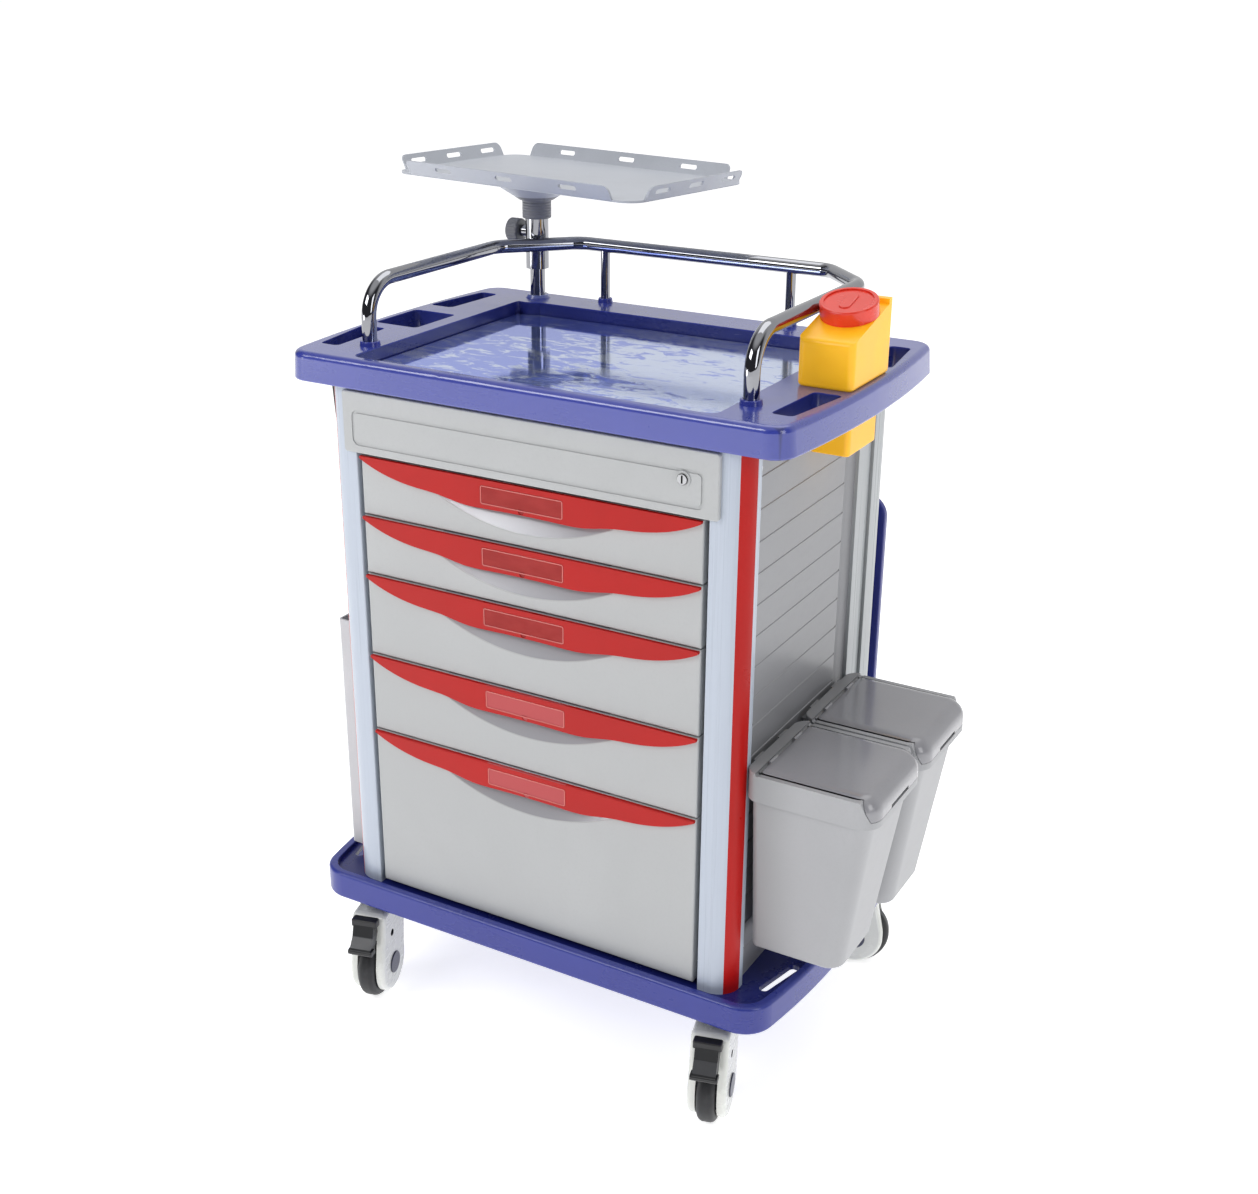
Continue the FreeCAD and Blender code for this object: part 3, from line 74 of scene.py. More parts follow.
# ---- materials ----------------------------------------------------------------------------
class Graph:
    """A node material under construction, with short calls for the usual nodes."""

    def __init__(self, name, place=None, turn=0.0):
        self.material = bpy.data.materials.new(name)
        self.material.use_nodes = True
        self.tree = self.material.node_tree
        self.shader = self.tree.nodes["Principled BSDF"]
        self.place = self.node("ShaderNodeTexCoord").outputs["Object"]
        if place is not None:
            shift = self.node("ShaderNodeVectorMath", operation="SUBTRACT")
            self.join(self.place, shift.inputs[0])
            shift.inputs[1].default_value = place
            spin = self.node("ShaderNodeVectorRotate", rotation_type="Z_AXIS")
            self.join(shift.outputs[0], spin.inputs["Vector"])
            spin.inputs["Angle"].default_value = turn
            self.place = spin.outputs[0]

    def node(self, kind, **settings):
        node = self.tree.nodes.new(kind)
        for key, value in settings.items():
            setattr(node, key, value)
        return node

    def join(self, source, target):
        self.tree.links.new(source, target)

    def feed(self, value, target):
        """Link an output, or set a plain value."""
        if isinstance(value, bpy.types.NodeSocket):
            self.join(value, target)
        elif isinstance(value, tuple) and len(value) == 3 and len(target.default_value) == 4:
            target.default_value = (*value, 1.0)
        else:
            target.default_value = value

    def stretched(self, factors):
        scale = self.node("ShaderNodeVectorMath", operation="MULTIPLY")
        self.join(self.place, scale.inputs[0])
        scale.inputs[1].default_value = factors
        return scale.outputs[0]

    def noise(self, scale, detail=3.0, roughness=0.5, stretch=None, distortion=0.0):
        noise = self.node("ShaderNodeTexNoise")
        self.join(self.stretched(stretch) if stretch else self.place, noise.inputs["Vector"])
        noise.inputs["Scale"].default_value = scale
        noise.inputs["Detail"].default_value = detail
        noise.inputs["Roughness"].default_value = roughness
        noise.inputs["Distortion"].default_value = distortion
        return noise.outputs["Fac"]

    def ramp(self, value, low, high, to_low=0.0, to_high=1.0):
        """Smooth change between two values of the input."""
        span = self.node("ShaderNodeMapRange", interpolation_type="SMOOTHSTEP")
        self.join(value, span.inputs["Value"])
        span.inputs["From Min"].default_value = low
        span.inputs["From Max"].default_value = high
        span.inputs["To Min"].default_value = to_low
        span.inputs["To Max"].default_value = to_high
        return span.outputs["Result"]

    def calc(self, operation, first, second=0.0):
        node = self.node("ShaderNodeMath", operation=operation)
        self.feed(first, node.inputs[0])
        self.feed(second, node.inputs[1])
        return node.outputs[0]

    def mix(self, amount, first, second):
        """Blend of two colours."""
        node = self.node("ShaderNodeMix", data_type="RGBA")
        self.feed(amount, node.inputs[0])
        self.feed(first, node.inputs[6])
        self.feed(second, node.inputs[7])
        return node.outputs[2]

    def blend(self, amount, first, second):
        """Blend of two numbers."""
        node = self.node("ShaderNodeMix", data_type="FLOAT")
        self.feed(amount, node.inputs[0])
        self.feed(first, node.inputs[2])
        self.feed(second, node.inputs[3])
        return node.outputs[0]

    def axes(self):
        """The three coordinates of the place that the material is measured from."""
        split = self.node("ShaderNodeSeparateXYZ")
        self.join(self.place, split.inputs[0])
        return split.outputs[0], split.outputs[1], split.outputs[2]

    def above(self, value, level, soft=0.0001):
        """One above the level, nought below it."""
        return self.ramp(value, level - soft, level + soft)

    def below(self, value, level, soft=0.0001):
        """One below the level, nought above it."""
        return self.ramp(value, level - soft, level + soft, 1.0, 0.0)

    def within(self, value, low, high):
        """One between two levels."""
        return self.calc("MULTIPLY", self.above(value, low), self.below(value, high))

    def both(self, *masks):
        """One where every mask is one."""
        result = masks[0]
        for mask in masks[1:]:
            result = self.calc("MULTIPLY", result, mask)
        return result

    def off_centre(self, value, centre):
        """Distance to either side of a centre plane."""
        return self.calc("ABSOLUTE", self.calc("SUBTRACT", value, centre))

    def radius(self, first, second):
        """Distance from the axis that two coordinates are measured from."""
        first_square = self.calc("MULTIPLY", first, first)
        second_square = self.calc("MULTIPLY", second, second)
        return self.calc("SQRT", self.calc("ADD", first_square, second_square))

    def waves(self, value, pitch):
        """Sine wave along a coordinate, with so many radians to the metre."""
        return self.calc("SINE", self.calc("MULTIPLY", value, pitch))

    def steel(self, marks, dark):
        """Steel colour, darkened where the marks are low."""
        return self.mix(marks, tinted(STEEL, dark), STEEL)

    def bump(self, *layers):
        """Layers of (height output, strength, distance in metres), one over another."""
        normal = None
        for height, strength, distance in layers:
            node = self.node("ShaderNodeBump")
            node.inputs["Strength"].default_value = strength
            node.inputs["Distance"].default_value = distance
            self.join(height, node.inputs["Height"])
            if normal is not None:
                self.join(normal, node.inputs["Normal"])
            normal = node.outputs[0]
        self.join(normal, self.shader.inputs["Normal"])

    def set(self, **values):
        """Values or outputs for the shader, by socket name with underscores for spaces."""
        for key, value in values.items():
            self.feed(value, self.shader.inputs[key.replace("_", " ")])
        return self.material


def srgb(red, green, blue):
    """A colour given in 0 to 255 display values, as the linear one that a shader needs."""
    def linear(value):
        part = value / 255.0
        return part / 12.92 if part <= 0.04045 else ((part + 0.055) / 1.055) ** 2.4
    return (linear(red), linear(green), linear(blue))


def tinted(colour, factor):
    """A colour made darker or lighter."""
    return tuple(min(1.0, part * factor) for part in colour)


def moulded(
    name, colour, gloss=0.3, grain=1400.0, depth=0.00003, cloud=5.0, coat=0.0, place=None, turn=0.0,
):
    """Moulded plastic: faint flow clouds in the colour, fine surface grain, uneven gloss and light scuffs.

    Returns the graph with its colour and roughness outputs, for looks that add to them.
    """
    graph = Graph(name, place, turn)
    clouds = graph.noise(cloud, 4.0, 0.55, distortion=0.4)
    speckle = graph.noise(260.0, 2.0)
    tone = graph.mix(graph.ramp(clouds, 0.35, 0.7), tinted(colour, 0.95), tinted(colour, 1.04))
    tone = graph.mix(graph.ramp(speckle, 0.45, 0.75, 0.0, 0.25), tone, tinted(colour, 0.9))
    scuffs = graph.ramp(graph.noise(38.0, 4.0, 0.6, stretch=(1.0, 1.0, 3.5)), 0.45, 0.85)
    shine = graph.blend(graph.ramp(clouds, 0.3, 0.75), gloss * 0.9, gloss * 1.1)
    shine = graph.calc("ADD", shine, graph.calc("MULTIPLY", scuffs, 0.06))
    graph.bump((graph.noise(grain, 2.0), 0.2, depth))
    graph.set(Base_Color=tone, Roughness=shine, Coat_Weight=coat, Coat_Roughness=0.12)
    return graph, tone, shine


def extruded(name, colour, gloss=0.28):
    """Extruded plastic profile: long faint draw lines along Z; the rear columns are greyer."""
    graph = Graph(name)
    lines = graph.noise(160.0, 3.0, 0.6, stretch=(1.0, 1.0, 0.012))
    clouds = graph.noise(4.0, 3.0)
    tone = graph.mix(graph.ramp(lines, 0.35, 0.7), tinted(colour, 0.965), tinted(colour, 1.02))
    tone = graph.mix(graph.ramp(clouds, 0.4, 0.7, 0.0, 0.3), tone, tinted(colour, 0.95))
    shine = graph.blend(graph.ramp(lines, 0.3, 0.7), gloss * 0.9, gloss * 1.2)
    graph.bump((lines, 0.25, 0.00008), (graph.noise(1200.0, 2.0), 0.3, 0.00002))
    rear = graph.above(graph.axes()[1], CENTRE_Y + REAR_COLUMNS_FROM)
    tone = graph.mix(rear, tone, REAR_COLUMN_GREY)
    return graph.set(Base_Color=tone, Roughness=shine, Coat_Weight=0.2, Coat_Roughness=0.15)


def metal(name, colour, roughness, brushed=None, dark=0.85):
    """Metal with fine polishing or brushing marks and a few smudges."""
    graph = Graph(name)
    marks = graph.noise(420.0, 4.0, 0.6, stretch=brushed or (1.0, 1.0, 1.0))
    smudge = graph.ramp(graph.noise(22.0, 5.0, 0.6), 0.45, 0.75)
    tone = graph.mix(graph.ramp(marks, 0.35, 0.7), tinted(colour, dark), colour)
    shine = graph.blend(smudge, roughness, roughness * 1.9)
    graph.bump((marks, 0.18, 0.00003))
    return graph.set(Base_Color=tone, Metallic=1.0, Roughness=shine)


# Colours.
BLUE = srgb(55, 66, 162)
BASE_BLUE = srgb(42, 52, 146)
# Pale blue of the highlight painted along the tops of the blue mouldings.
CROWN_HIGHLIGHT_BLUE = srgb(150, 166, 226)
RED = srgb(184, 18, 14)
STRIPE_RED = srgb(190, 20, 16)
COLUMN_WHITE = srgb(190, 199, 213)
REAR_COLUMN_GREY = tinted(srgb(176, 181, 184), 0.95)
DRAWER_GREY = srgb(184, 186, 187)
PANEL_GREY = srgb(146, 147, 151)
BIN_GREY = srgb(174, 175, 178)
BIN_LID_GREY = srgb(150, 150, 155)
TRAY_GREY = srgb(192, 196, 204)
TUB_GREY = srgb(196, 199, 202)
COLLAR_GREY = srgb(136, 137, 143)
KNOB_GREY = srgb(124, 125, 130)
BOX_GREY = srgb(206, 207, 211)
BACK_GREY = srgb(176, 178, 181)
HUB_GREY = srgb(188, 190, 194)
YELLOW = srgb(252, 188, 26)
LID_RED = srgb(240, 62, 44)
BOARD_BLUE = srgb(34, 44, 134)
CREAM = srgb(236, 238, 232)
STEEL = srgb(190, 191, 194)
CHROME = srgb(156, 157, 162)
BLACK = srgb(34, 35, 37)
TYRE_BLACK = srgb(34, 35, 38)
CLEAR_FRAME_RED = srgb(214, 104, 98)

# Height in metres of the barely visible grain on the blue parts.
FINE_GRAIN = 0.000008

# Height of the ribbed part of the tray's collar, as a share of the whole.
COLLAR_SHARE = 0.55

# Places in metres, where one node shows two finishes.
REAR_COLUMNS_FROM = 80.0 * MM       # behind the middle of the cabinet
CROWN_DEPTH = 3.5 * MM              # top rounding of the blue mouldings, where a highlight is painted
CROWN_FADE = 2.5 * MM
EDGE_FADE = 1.0 * MM
FLOOR_FADE = 0.8 * MM
SCOOP_HALF_WIDTH = 118.0 * MM
SCOOP_BEHIND_FACE = (0.5 * MM, 11.8 * MM)
CARD_HALF_WIDTH = 58.3 * MM
CARD_BEHIND_FACE = (0.3 * MM, 3.0 * MM)
RUNNER_FROM_MIDDLE = 224.05 * MM    # steel runners start here on both sides of a drawer tray
CAP_FROM_MIDDLE = 25.05 * MM        # end caps of the axle stand out from the caster's cheeks
PIN_HOLE_WITHIN = 24.9 * MM
AXLE_BEHIND_SWIVEL = 25.0 * MM
AXLE_HEIGHT = 50.0 * MM
PIN_HOLE_BEHIND_SWIVEL = 28.0 * MM
PIN_HOLE_HEIGHT = 101.0 * MM
PIN_HOLE_RADIUS = 5.4 * MM
HEAD_HEIGHT = 139.05 * MM           # steel head over the plastic caster cover
GRIP_BAND = (104.5 * MM, 117.5 * MM)
KEYWAY_HALF_WIDTH = 1.1 * MM
KEYWAY_HALF_HEIGHT = 4.8 * MM
LOCK_RING = (6.0 * MM, 7.0 * MM)

# Radians to the metre of fine ribs and turning lines.
COLLAR_RIBS = 1700.0
CAP_RIDGES = 1900.0
PEDAL_RIBS = 2600.0
TYRE_LINES = 2800.0


def blue_moulding(name, colour, node, wall, outline, floor_drop, coat, coat_ior, crown_highlight_share):
    """Glossy blue moulding, with painted shade that makes it darker and richer inside its hollows, and a
    painted highlight that makes it paler along its top.

    The outline is half the width at the corners and at the middle of the bowed ends, and half the depth.
    The hollows start one wall inside it, and floor_drop under the top.
    """
    graph, tone = moulded(name, colour, gloss=0.28, depth=FINE_GRAIN, cloud=7.0, coat=coat)[:2]
    corner_x, apex_x, half_depth = outline
    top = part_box(node)[1].z
    x, y, z = graph.axes()
    across = graph.off_centre(x, CENTRE_X)
    along = graph.off_centre(y, CENTRE_Y)
    bow = (apex_x - corner_x) / half_depth ** 2
    bowed = graph.calc("ADD", across, graph.calc("MULTIPLY", graph.calc("MULTIPLY", along, along), bow))
    hollow = graph.both(
        graph.below(bowed, apex_x - wall, EDGE_FADE),
        graph.below(along, half_depth - wall, EDGE_FADE),
        graph.below(z, top - floor_drop, FLOOR_FADE),
    )
    # Painted shade: the floors and walls of the hollows get a darker blue.
    hollow_shade = graph.mix(graph.noise(5.0, 2.0), tinted(colour, 0.50), tinted(colour, 0.62))
    # Painted highlight: a band along the top is blended towards pale blue.
    crown_highlight = graph.above(z, top - CROWN_DEPTH, CROWN_FADE)
    tone = graph.mix(graph.calc("MULTIPLY", crown_highlight, crown_highlight_share), tone, CROWN_HIGHLIGHT_BLUE)
    return graph.set(Base_Color=graph.mix(hollow, tone, hollow_shade), Coat_IOR=coat_ior)


def clear_sheet():
    """Clear sheet over the blue floor, mirror-like, with pale patches that are partly milky where it comes
    away from the floor and partly painted reflection, and a painted reflection that darkens its left side.
    """
    graph = Graph("clear_sheet")
    patches = graph.noise(40.0, 6.0, 0.66, stretch=(0.7, 1.5, 1.0), distortion=0.8)
    large = graph.noise(3.2, 2.0, 0.5)
    # Painted reflection: darker towards the left, paler towards the right.
    painted_side_ramp = graph.ramp(graph.axes()[0], CENTRE_X - 0.24, CENTRE_X + 0.20, -0.06, 0.06)
    cover = graph.calc("ADD", graph.calc("MULTIPLY", patches, 0.75), graph.calc("MULTIPLY", large, 0.30))
    # Pale patches, partly milky where the sheet comes away and partly painted reflection.
    bright = graph.ramp(graph.calc("ADD", cover, painted_side_ramp), 0.47, 0.56)
    film = graph.mix(bright, srgb(134, 154, 238), srgb(216, 228, 255))
    graph.bump((patches, 0.05, 0.0008), (graph.noise(8.0, 2.0), 0.03, 0.003))
    return graph.set(
        Base_Color=film, Metallic=graph.blend(bright, 0.74, 0.84),
        Roughness=graph.blend(bright, 0.05, 0.12),
    )


def drawer_front_look():
    """Satin front whose finger scoop, just behind the face, is smoother and has a silvery, part metallic
    painted sheen.
    """
    graph, tone, shine = moulded("drawer_grey", DRAWER_GREY, gloss=0.40, cloud=2.6, depth=0.00002, coat=0.1)
    x, y = graph.axes()[:2]
    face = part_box("drawer_3_front")[0].y
    near, far = SCOOP_BEHIND_FACE
    scoop = graph.both(
        graph.within(x, CENTRE_X - SCOOP_HALF_WIDTH, CENTRE_X + SCOOP_HALF_WIDTH),
        graph.within(y, face + near, face + far),
    )
    # Painted sheen: the scoop gets a silvery grey tint and a little metallic.
    tone = graph.mix(scoop, tone, srgb(176, 177, 182))
    shine = graph.blend(scoop, shine, 0.22)
    return graph.set(
        Base_Color=tone, Roughness=shine, Metallic=graph.calc("MULTIPLY", scoop, 0.2),
        Coat_Weight=0.15, Coat_Roughness=0.12,
    )


def pull_look():
    """Red strip whose label window lies a little behind the face; the lower two windows are a paler pink.
    """
    graph, tone, shine = moulded("red_plastic", RED, gloss=0.34, cloud=9.0, depth=0.00002)
    x, y, z = graph.axes()
    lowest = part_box("drawer_3_pull")[0]
    near, far = CARD_BEHIND_FACE
    window = graph.both(
        graph.within(x, CENTRE_X - CARD_HALF_WIDTH, CENTRE_X + CARD_HALF_WIDTH),
        graph.within(y, lowest.y + near, lowest.y + far),
    )
    cloud = graph.noise(30.0, 3.0, stretch=(1.0, 1.0, 2.5))
    card = graph.mix(graph.ramp(cloud, 0.3, 0.75), srgb(152, 24, 20), srgb(164, 36, 32))
    lower_windows = graph.below(z, lowest.z)
    card = graph.mix(lower_windows, card, srgb(188, 78, 80))
    tone = graph.mix(window, tone, card)
    shine = graph.blend(window, shine, 0.14)
    return graph.set(Base_Color=tone, Roughness=shine, Specular_IOR_Level=0.28)


def stripe_look():
    """Red strip let into a column, less glossy than the blue parts."""
    graph = moulded("red_stripe", STRIPE_RED, gloss=0.30, cloud=6.0, depth=0.00001)[0]
    return graph.set(Specular_IOR_Level=0.22)


def bin_look():
    """Bin moulding with a fine spark-eroded grain, and painted shade that makes it darker towards the
    cabinet.
    """
    graph, tone = moulded("bin_grey", BIN_GREY, gloss=0.40, grain=900.0, depth=0.00006, cloud=4.0)[:2]
    # Painted shade: the bin darkens towards the cabinet side panel.
    near = graph.ramp(graph.axes()[0], CENTRE_X + 0.29, CENTRE_X + 0.37, 0.62, 0.0)
    return graph.set(Base_Color=graph.mix(near, tone, tinted(BIN_GREY, 0.45)))


def sharps_yellow():
    """Thin yellow blow moulding that lets a little light through, with a painted glow on top, more orange
    in thick places.
    """
    graph, tone = moulded("sharps_yellow", YELLOW, gloss=0.32, cloud=14.0, depth=0.00002)[:2]
    thick = graph.noise(9.0, 2.0, stretch=(1.0, 1.0, 2.0))
    tone = graph.mix(graph.ramp(thick, 0.45, 0.7, 0.0, 0.35), tone, srgb(250, 180, 34))
    # Painted glow: the emission brightens the yellow though it is no lamp.
    return graph.set(
        Base_Color=tone, Subsurface_Weight=0.12, Subsurface_Radius=(0.004, 0.002, 0.001),
        Emission_Color=YELLOW, Emission_Strength=0.26,
    )


def tub_look():
    """Drawer tray in pale plastic with its zinc-plated steel runners."""
    graph, tone, shine = moulded("tub_grey", TUB_GREY, gloss=0.45, cloud=3.0)
    runner = graph.above(graph.off_centre(graph.axes()[0], CENTRE_X), RUNNER_FROM_MIDDLE)
    marks = graph.noise(300.0, 3.0, stretch=(1.0, 0.03, 1.0))
    return graph.set(
        Base_Color=graph.mix(runner, tone, graph.steel(marks, 0.7)), Metallic=runner,
        Roughness=graph.blend(runner, shine, 0.32),
    )


def collar_look():
    """Ribbed grey collar that widens into a pale dish under the tray."""
    graph, tone = moulded("collar_grey", COLLAR_GREY, gloss=0.42, cloud=12.0)[:2]
    z = graph.axes()[2]
    low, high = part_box("tray_collar")
    dish = graph.above(z, low.z + (high.z - low.z) * COLLAR_SHARE, FLOOR_FADE)
    ribs = graph.waves(z, COLLAR_RIBS)
    graph.bump((graph.both(ribs, graph.calc("SUBTRACT", 1.0, dish)), 0.5, 0.0008))
    return graph.set(Base_Color=graph.mix(dish, tone, TRAY_GREY))


def fork_look(corner):
    """Caster cover in cream plastic, with dark end caps, a pin hole painted dark as shade, and a plated
    steel swivel head.
    """
    graph, tone, shine = moulded(
        f"caster_cream_{corner}", CREAM, gloss=0.25, cloud=16.0, depth=0.00002, coat=0.3,
        place=under_swivel(corner), turn=-axle_heading(corner),
    )
    x, y, z = graph.axes()
    out = graph.calc("ABSOLUTE", x)
    cap = graph.above(out, CAP_FROM_MIDDLE)
    from_axle = graph.radius(
        graph.calc("ADD", y, AXLE_BEHIND_SWIVEL), graph.calc("SUBTRACT", z, AXLE_HEIGHT),
    )
    ridge = graph.waves(from_axle, CAP_RIDGES)
    dark = graph.mix(graph.ramp(ridge, -1.0, 1.0), srgb(38, 42, 66), srgb(58, 62, 88))
    tone = graph.mix(cap, tone, dark)
    from_pin = graph.radius(
        graph.calc("ADD", y, PIN_HOLE_BEHIND_SWIVEL), graph.calc("SUBTRACT", z, PIN_HOLE_HEIGHT),
    )
    hole = graph.both(graph.below(from_pin, PIN_HOLE_RADIUS), graph.below(out, PIN_HOLE_WITHIN))
    # Painted shade: the pin hole is darkened to near black.
    tone = graph.mix(hole, tone, srgb(40, 42, 48))
    head = graph.above(z, HEAD_HEIGHT)
    marks = graph.noise(500.0, 3.0, stretch=(1.0, 1.0, 0.1))
    tone = graph.mix(head, tone, graph.steel(marks, 0.75))
    return graph.set(
        Base_Color=tone, Metallic=head,
        Roughness=graph.blend(head, graph.blend(cap, shine, 0.4), 0.22),
    )


def tyre_look(corner):
    """Dark grey tread with fine turning lines."""
    graph, tone = moulded(
        f"tyre_{corner}", TYRE_BLACK, gloss=0.5, cloud=30.0, depth=0.00004,
        place=tuple(joint_place(f"wheel_{corner}_spin")), turn=-axle_heading(corner),
    )[:2]
    lines = graph.waves(graph.axes()[0], TYRE_LINES)
    graph.bump((lines, 0.25, 0.0001), (graph.noise(900.0, 2.0), 0.4, 0.00004))
    dust = graph.ramp(graph.noise(60.0, 5.0, 0.6), 0.5, 0.75, 0.0, 0.45)
    return graph.set(Base_Color=graph.mix(dust, tone, srgb(56, 57, 60)))


def pedal_look(corner):
    """Black brake lever with a grey grip band across its middle and ribs under it."""
    graph, tone, shine = moulded(
        f"pedal_{corner}", BLACK, gloss=0.38, cloud=22.0, depth=0.00005,
        place=under_swivel(corner), turn=-axle_heading(corner),
    )
    z = graph.axes()[2]
    band_low, band_high = GRIP_BAND
    band = graph.within(z, band_low, band_high)
    tone = graph.mix(graph.calc("MULTIPLY", band, 0.85), tone, srgb(72, 73, 76))
    grip = graph.calc("MULTIPLY", graph.waves(z, PEDAL_RIBS), graph.below(z, band_low))
    graph.bump((grip, 0.35, 0.0003), (graph.noise(900.0, 2.0), 0.4, 0.00005))
    return graph.set(Base_Color=tone, Roughness=shine)


def lock_look():
    """Plated lock plug whose keyway and front ring are painted dark as shade."""
    graph = Graph("lock_chrome", tuple(joint_place("lock_turn")))
    x, y, z = graph.axes()
    keyway = graph.both(
        graph.below(graph.calc("ABSOLUTE", x), KEYWAY_HALF_WIDTH),
        graph.below(graph.calc("ABSOLUTE", z), KEYWAY_HALF_HEIGHT),
        graph.below(y, 0.0),
    )
    ring_low, ring_high = LOCK_RING
    ring = graph.within(graph.radius(x, z), ring_low, ring_high)
    # Painted shade: the keyway and the front ring are near black and not metallic.
    dark = graph.calc("MAXIMUM", keyway, graph.calc("MULTIPLY", ring, graph.below(y, 0.0)))
    marks = graph.noise(700.0, 3.0)
    tone = graph.mix(dark, graph.steel(marks, 0.7), srgb(30, 30, 32))
    return graph.set(
        Base_Color=tone, Metallic=graph.calc("SUBTRACT", 1.0, dark), Roughness=graph.blend(marks, 0.16, 0.3)
    )


def plain(name, colour, **settings):
    """Moulded plastic with nothing added."""
    return moulded(name, colour, **settings)[0].material


def dress(material, *names):
    """Give CAD nodes their material."""
    for name in names:
        slots = nodes[name].data.materials
        if len(slots) == 0:
            slots.append(material)
        for index in range(len(slots)):
            slots[index] = material


def drawer_nodes(kind):
    return [f"drawer_{number}_{kind}" for number in DRAWERS]


def corner_nodes(kind):
    return [f"caster_{corner}_{kind}" for corner in CORNERS]


dress(
    blue_moulding(
        "blue_plastic", BLUE, "table_top", wall=5.5 * MM, outline=(334.5 * MM, 350.0 * MM, 228.0 * MM),
        floor_drop=6.5 * MM, coat=0.7, coat_ior=1.7, crown_highlight_share=0.42,
    ),
    "table_top",
)
dress(plain("socket_blue", BLUE, gloss=0.27, cloud=7.0, depth=FINE_GRAIN, coat=0.35), "rail_sockets")
dress(
    blue_moulding(
        "base_blue", BASE_BLUE, "base_tray", wall=12.5 * MM, outline=(335.0 * MM, 360.0 * MM, 236.0 * MM),
        floor_drop=1.2 * MM, coat=0.15, coat_ior=1.5, crown_highlight_share=0.06,
    ),
    "base_tray",
)
dress(clear_sheet(), "clear_mat")
dress(extruded("column_white", COLUMN_WHITE), "columns")
dress(stripe_look(), "column_stripes")
dress(
    plain("panel_grey", PANEL_GREY, gloss=0.36, cloud=3.5, depth=0.00002, coat=0.1),
    "side_panel_left", "side_panel_right",
)
dress(plain("back_grey", BACK_GREY, gloss=0.5, cloud=2.0), "back_panel")
dress(plain("fascia_grey", DRAWER_GREY, gloss=0.4, cloud=2.6, depth=0.00002, coat=0.1), "top_fascia")
dress(drawer_front_look(), *drawer_nodes("front"))
dress(pull_look(), *drawer_nodes("pull"))
dress(tub_look(), *drawer_nodes("box"))
dress(
    metal("slide_steel", STEEL, 0.32, brushed=(1.0, 0.03, 1.0), dark=0.7),
    "slide_rails", "brackets", "lock_bar",
)
dress(metal("plated_steel", STEEL, 0.20), "screws", "caster_mounts")
dress(metal("chrome_tube", CHROME, 0.045, dark=0.97), "guard_rail", "tray_post", "post_sleeve")
dress(lock_look(), "lock_plug")
dress(plain("knob_grey", KNOB_GREY, gloss=0.45, cloud=18.0), "tray_knob")
dress(collar_look(), "tray_collar")
dress(plain("tray_grey", TRAY_GREY, gloss=0.40, cloud=5.0, depth=0.00003), "swivel_tray")
dress(bin_look(), "bin_front", "bin_rear")
dress(
    plain("bin_lid_grey", BIN_LID_GREY, gloss=0.16, depth=0.00001, cloud=4.0, coat=0.5),
    "bin_front_lid", "bin_rear_lid",
)
dress(plain("box_grey", BOX_GREY, gloss=0.4, cloud=3.0), "storage_box")
dress(sharps_yellow(), "sharps_box")
dress(plain("sharps_red", LID_RED, gloss=0.24, cloud=16.0, depth=0.00002, coat=0.3), "sharps_lid")
dress(plain("board_blue", BOARD_BLUE, gloss=0.3, cloud=3.0, depth=FINE_GRAIN, coat=0.2), "cpr_board")
dress(plain("hook_black", BLACK, gloss=0.45, cloud=12.0), "cable_hook")
dress(plain("hub_grey", HUB_GREY, gloss=0.35, cloud=16.0), *corner_nodes("hub"))
for corner in CORNERS:
    dress(fork_look(corner), f"caster_{corner}_fork")
    dress(tyre_look(corner), f"caster_{corner}_tyre")
for corner in ("fl", "fr"):
    dress(pedal_look(corner), f"caster_{corner}_pedal")


# ---- clear frames of the label windows ----------------------------------------------------
CORNER_STEPS = 6
WINDOW_DROP = 19.0 * MM             # from the top of the pull to the middle of its window
WINDOW_HALF_WIDTH = 57.6 * MM
WINDOW_HALF_HEIGHT = 11.6 * MM
WINDOW_ROUND = 2.6 * MM
FRAME_BREADTH = 1.3 * MM
FRAME_SINK = 0.5 * MM               # depth of the frame behind the face of the pull
FRAME_PROUD = 0.3 * MM              # height of the frame over that face


def rounded_loop(centre_x, centre_z, half_width, half_height, radius, y):
    """Points of an upright rectangle with round corners, at one distance to the back."""
    points = []
    for quarter, (sign_x, sign_z) in enumerate(((1, 1), (-1, 1), (-1, -1), (1, -1))):
        for step in range(CORNER_STEPS + 1):
            angle = math.pi / 2 * (quarter + step / CORNER_STEPS)
            points.append(Vector((
                centre_x + sign_x * (half_width - radius) + radius * math.cos(angle),
                y,
                centre_z + sign_z * (half_height - radius) + radius * math.sin(angle),
            )))
    return points


def label_frame(number, material):
    """Clear raised edge round the label window of a pull, softly rounded, riding on its drawer."""
    low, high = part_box(f"drawer_{number}_pull")
    centre_x = (low.x + high.x) / 2
    centre_z = high.z - WINDOW_DROP
    outer = (WINDOW_HALF_WIDTH, WINDOW_HALF_HEIGHT, WINDOW_ROUND)
    inner = tuple(size - FRAME_BREADTH for size in outer)
    back = low.y + FRAME_SINK
    front = low.y - FRAME_PROUD
    mesh = bmesh.new()
    rings = [
        [mesh.verts.new(point) for point in rounded_loop(centre_x, centre_z, *size, y)]
        for size, y in ((outer, back), (outer, front), (inner, front), (inner, back))
    ]
    count = len(rings[0])
    for first, second in zip(rings, rings[1:] + rings[:1]):
        for index in range(count):
            following = (index + 1) % count
            mesh.faces.new((first[index], first[following], second[following], second[index]))
    bmesh.ops.recalc_face_normals(mesh, faces=mesh.faces)
    data = bpy.data.meshes.new(f"label_frame_{number}")
    mesh.to_mesh(data)
    mesh.free()
    for polygon in data.polygons:
        polygon.use_smooth = True
    data.materials.append(material)
    piece = bpy.data.objects.new(f"label_frame_{number}", data)
    bpy.context.scene.collection.objects.link(piece)
    rounding = piece.modifiers.new("rounding", "BEVEL")
    rounding.width = FRAME_BREADTH / 4
    rounding.segments = 2
    rounding.angle_limit = math.radians(50)
    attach(piece, f"drawer_{number}")


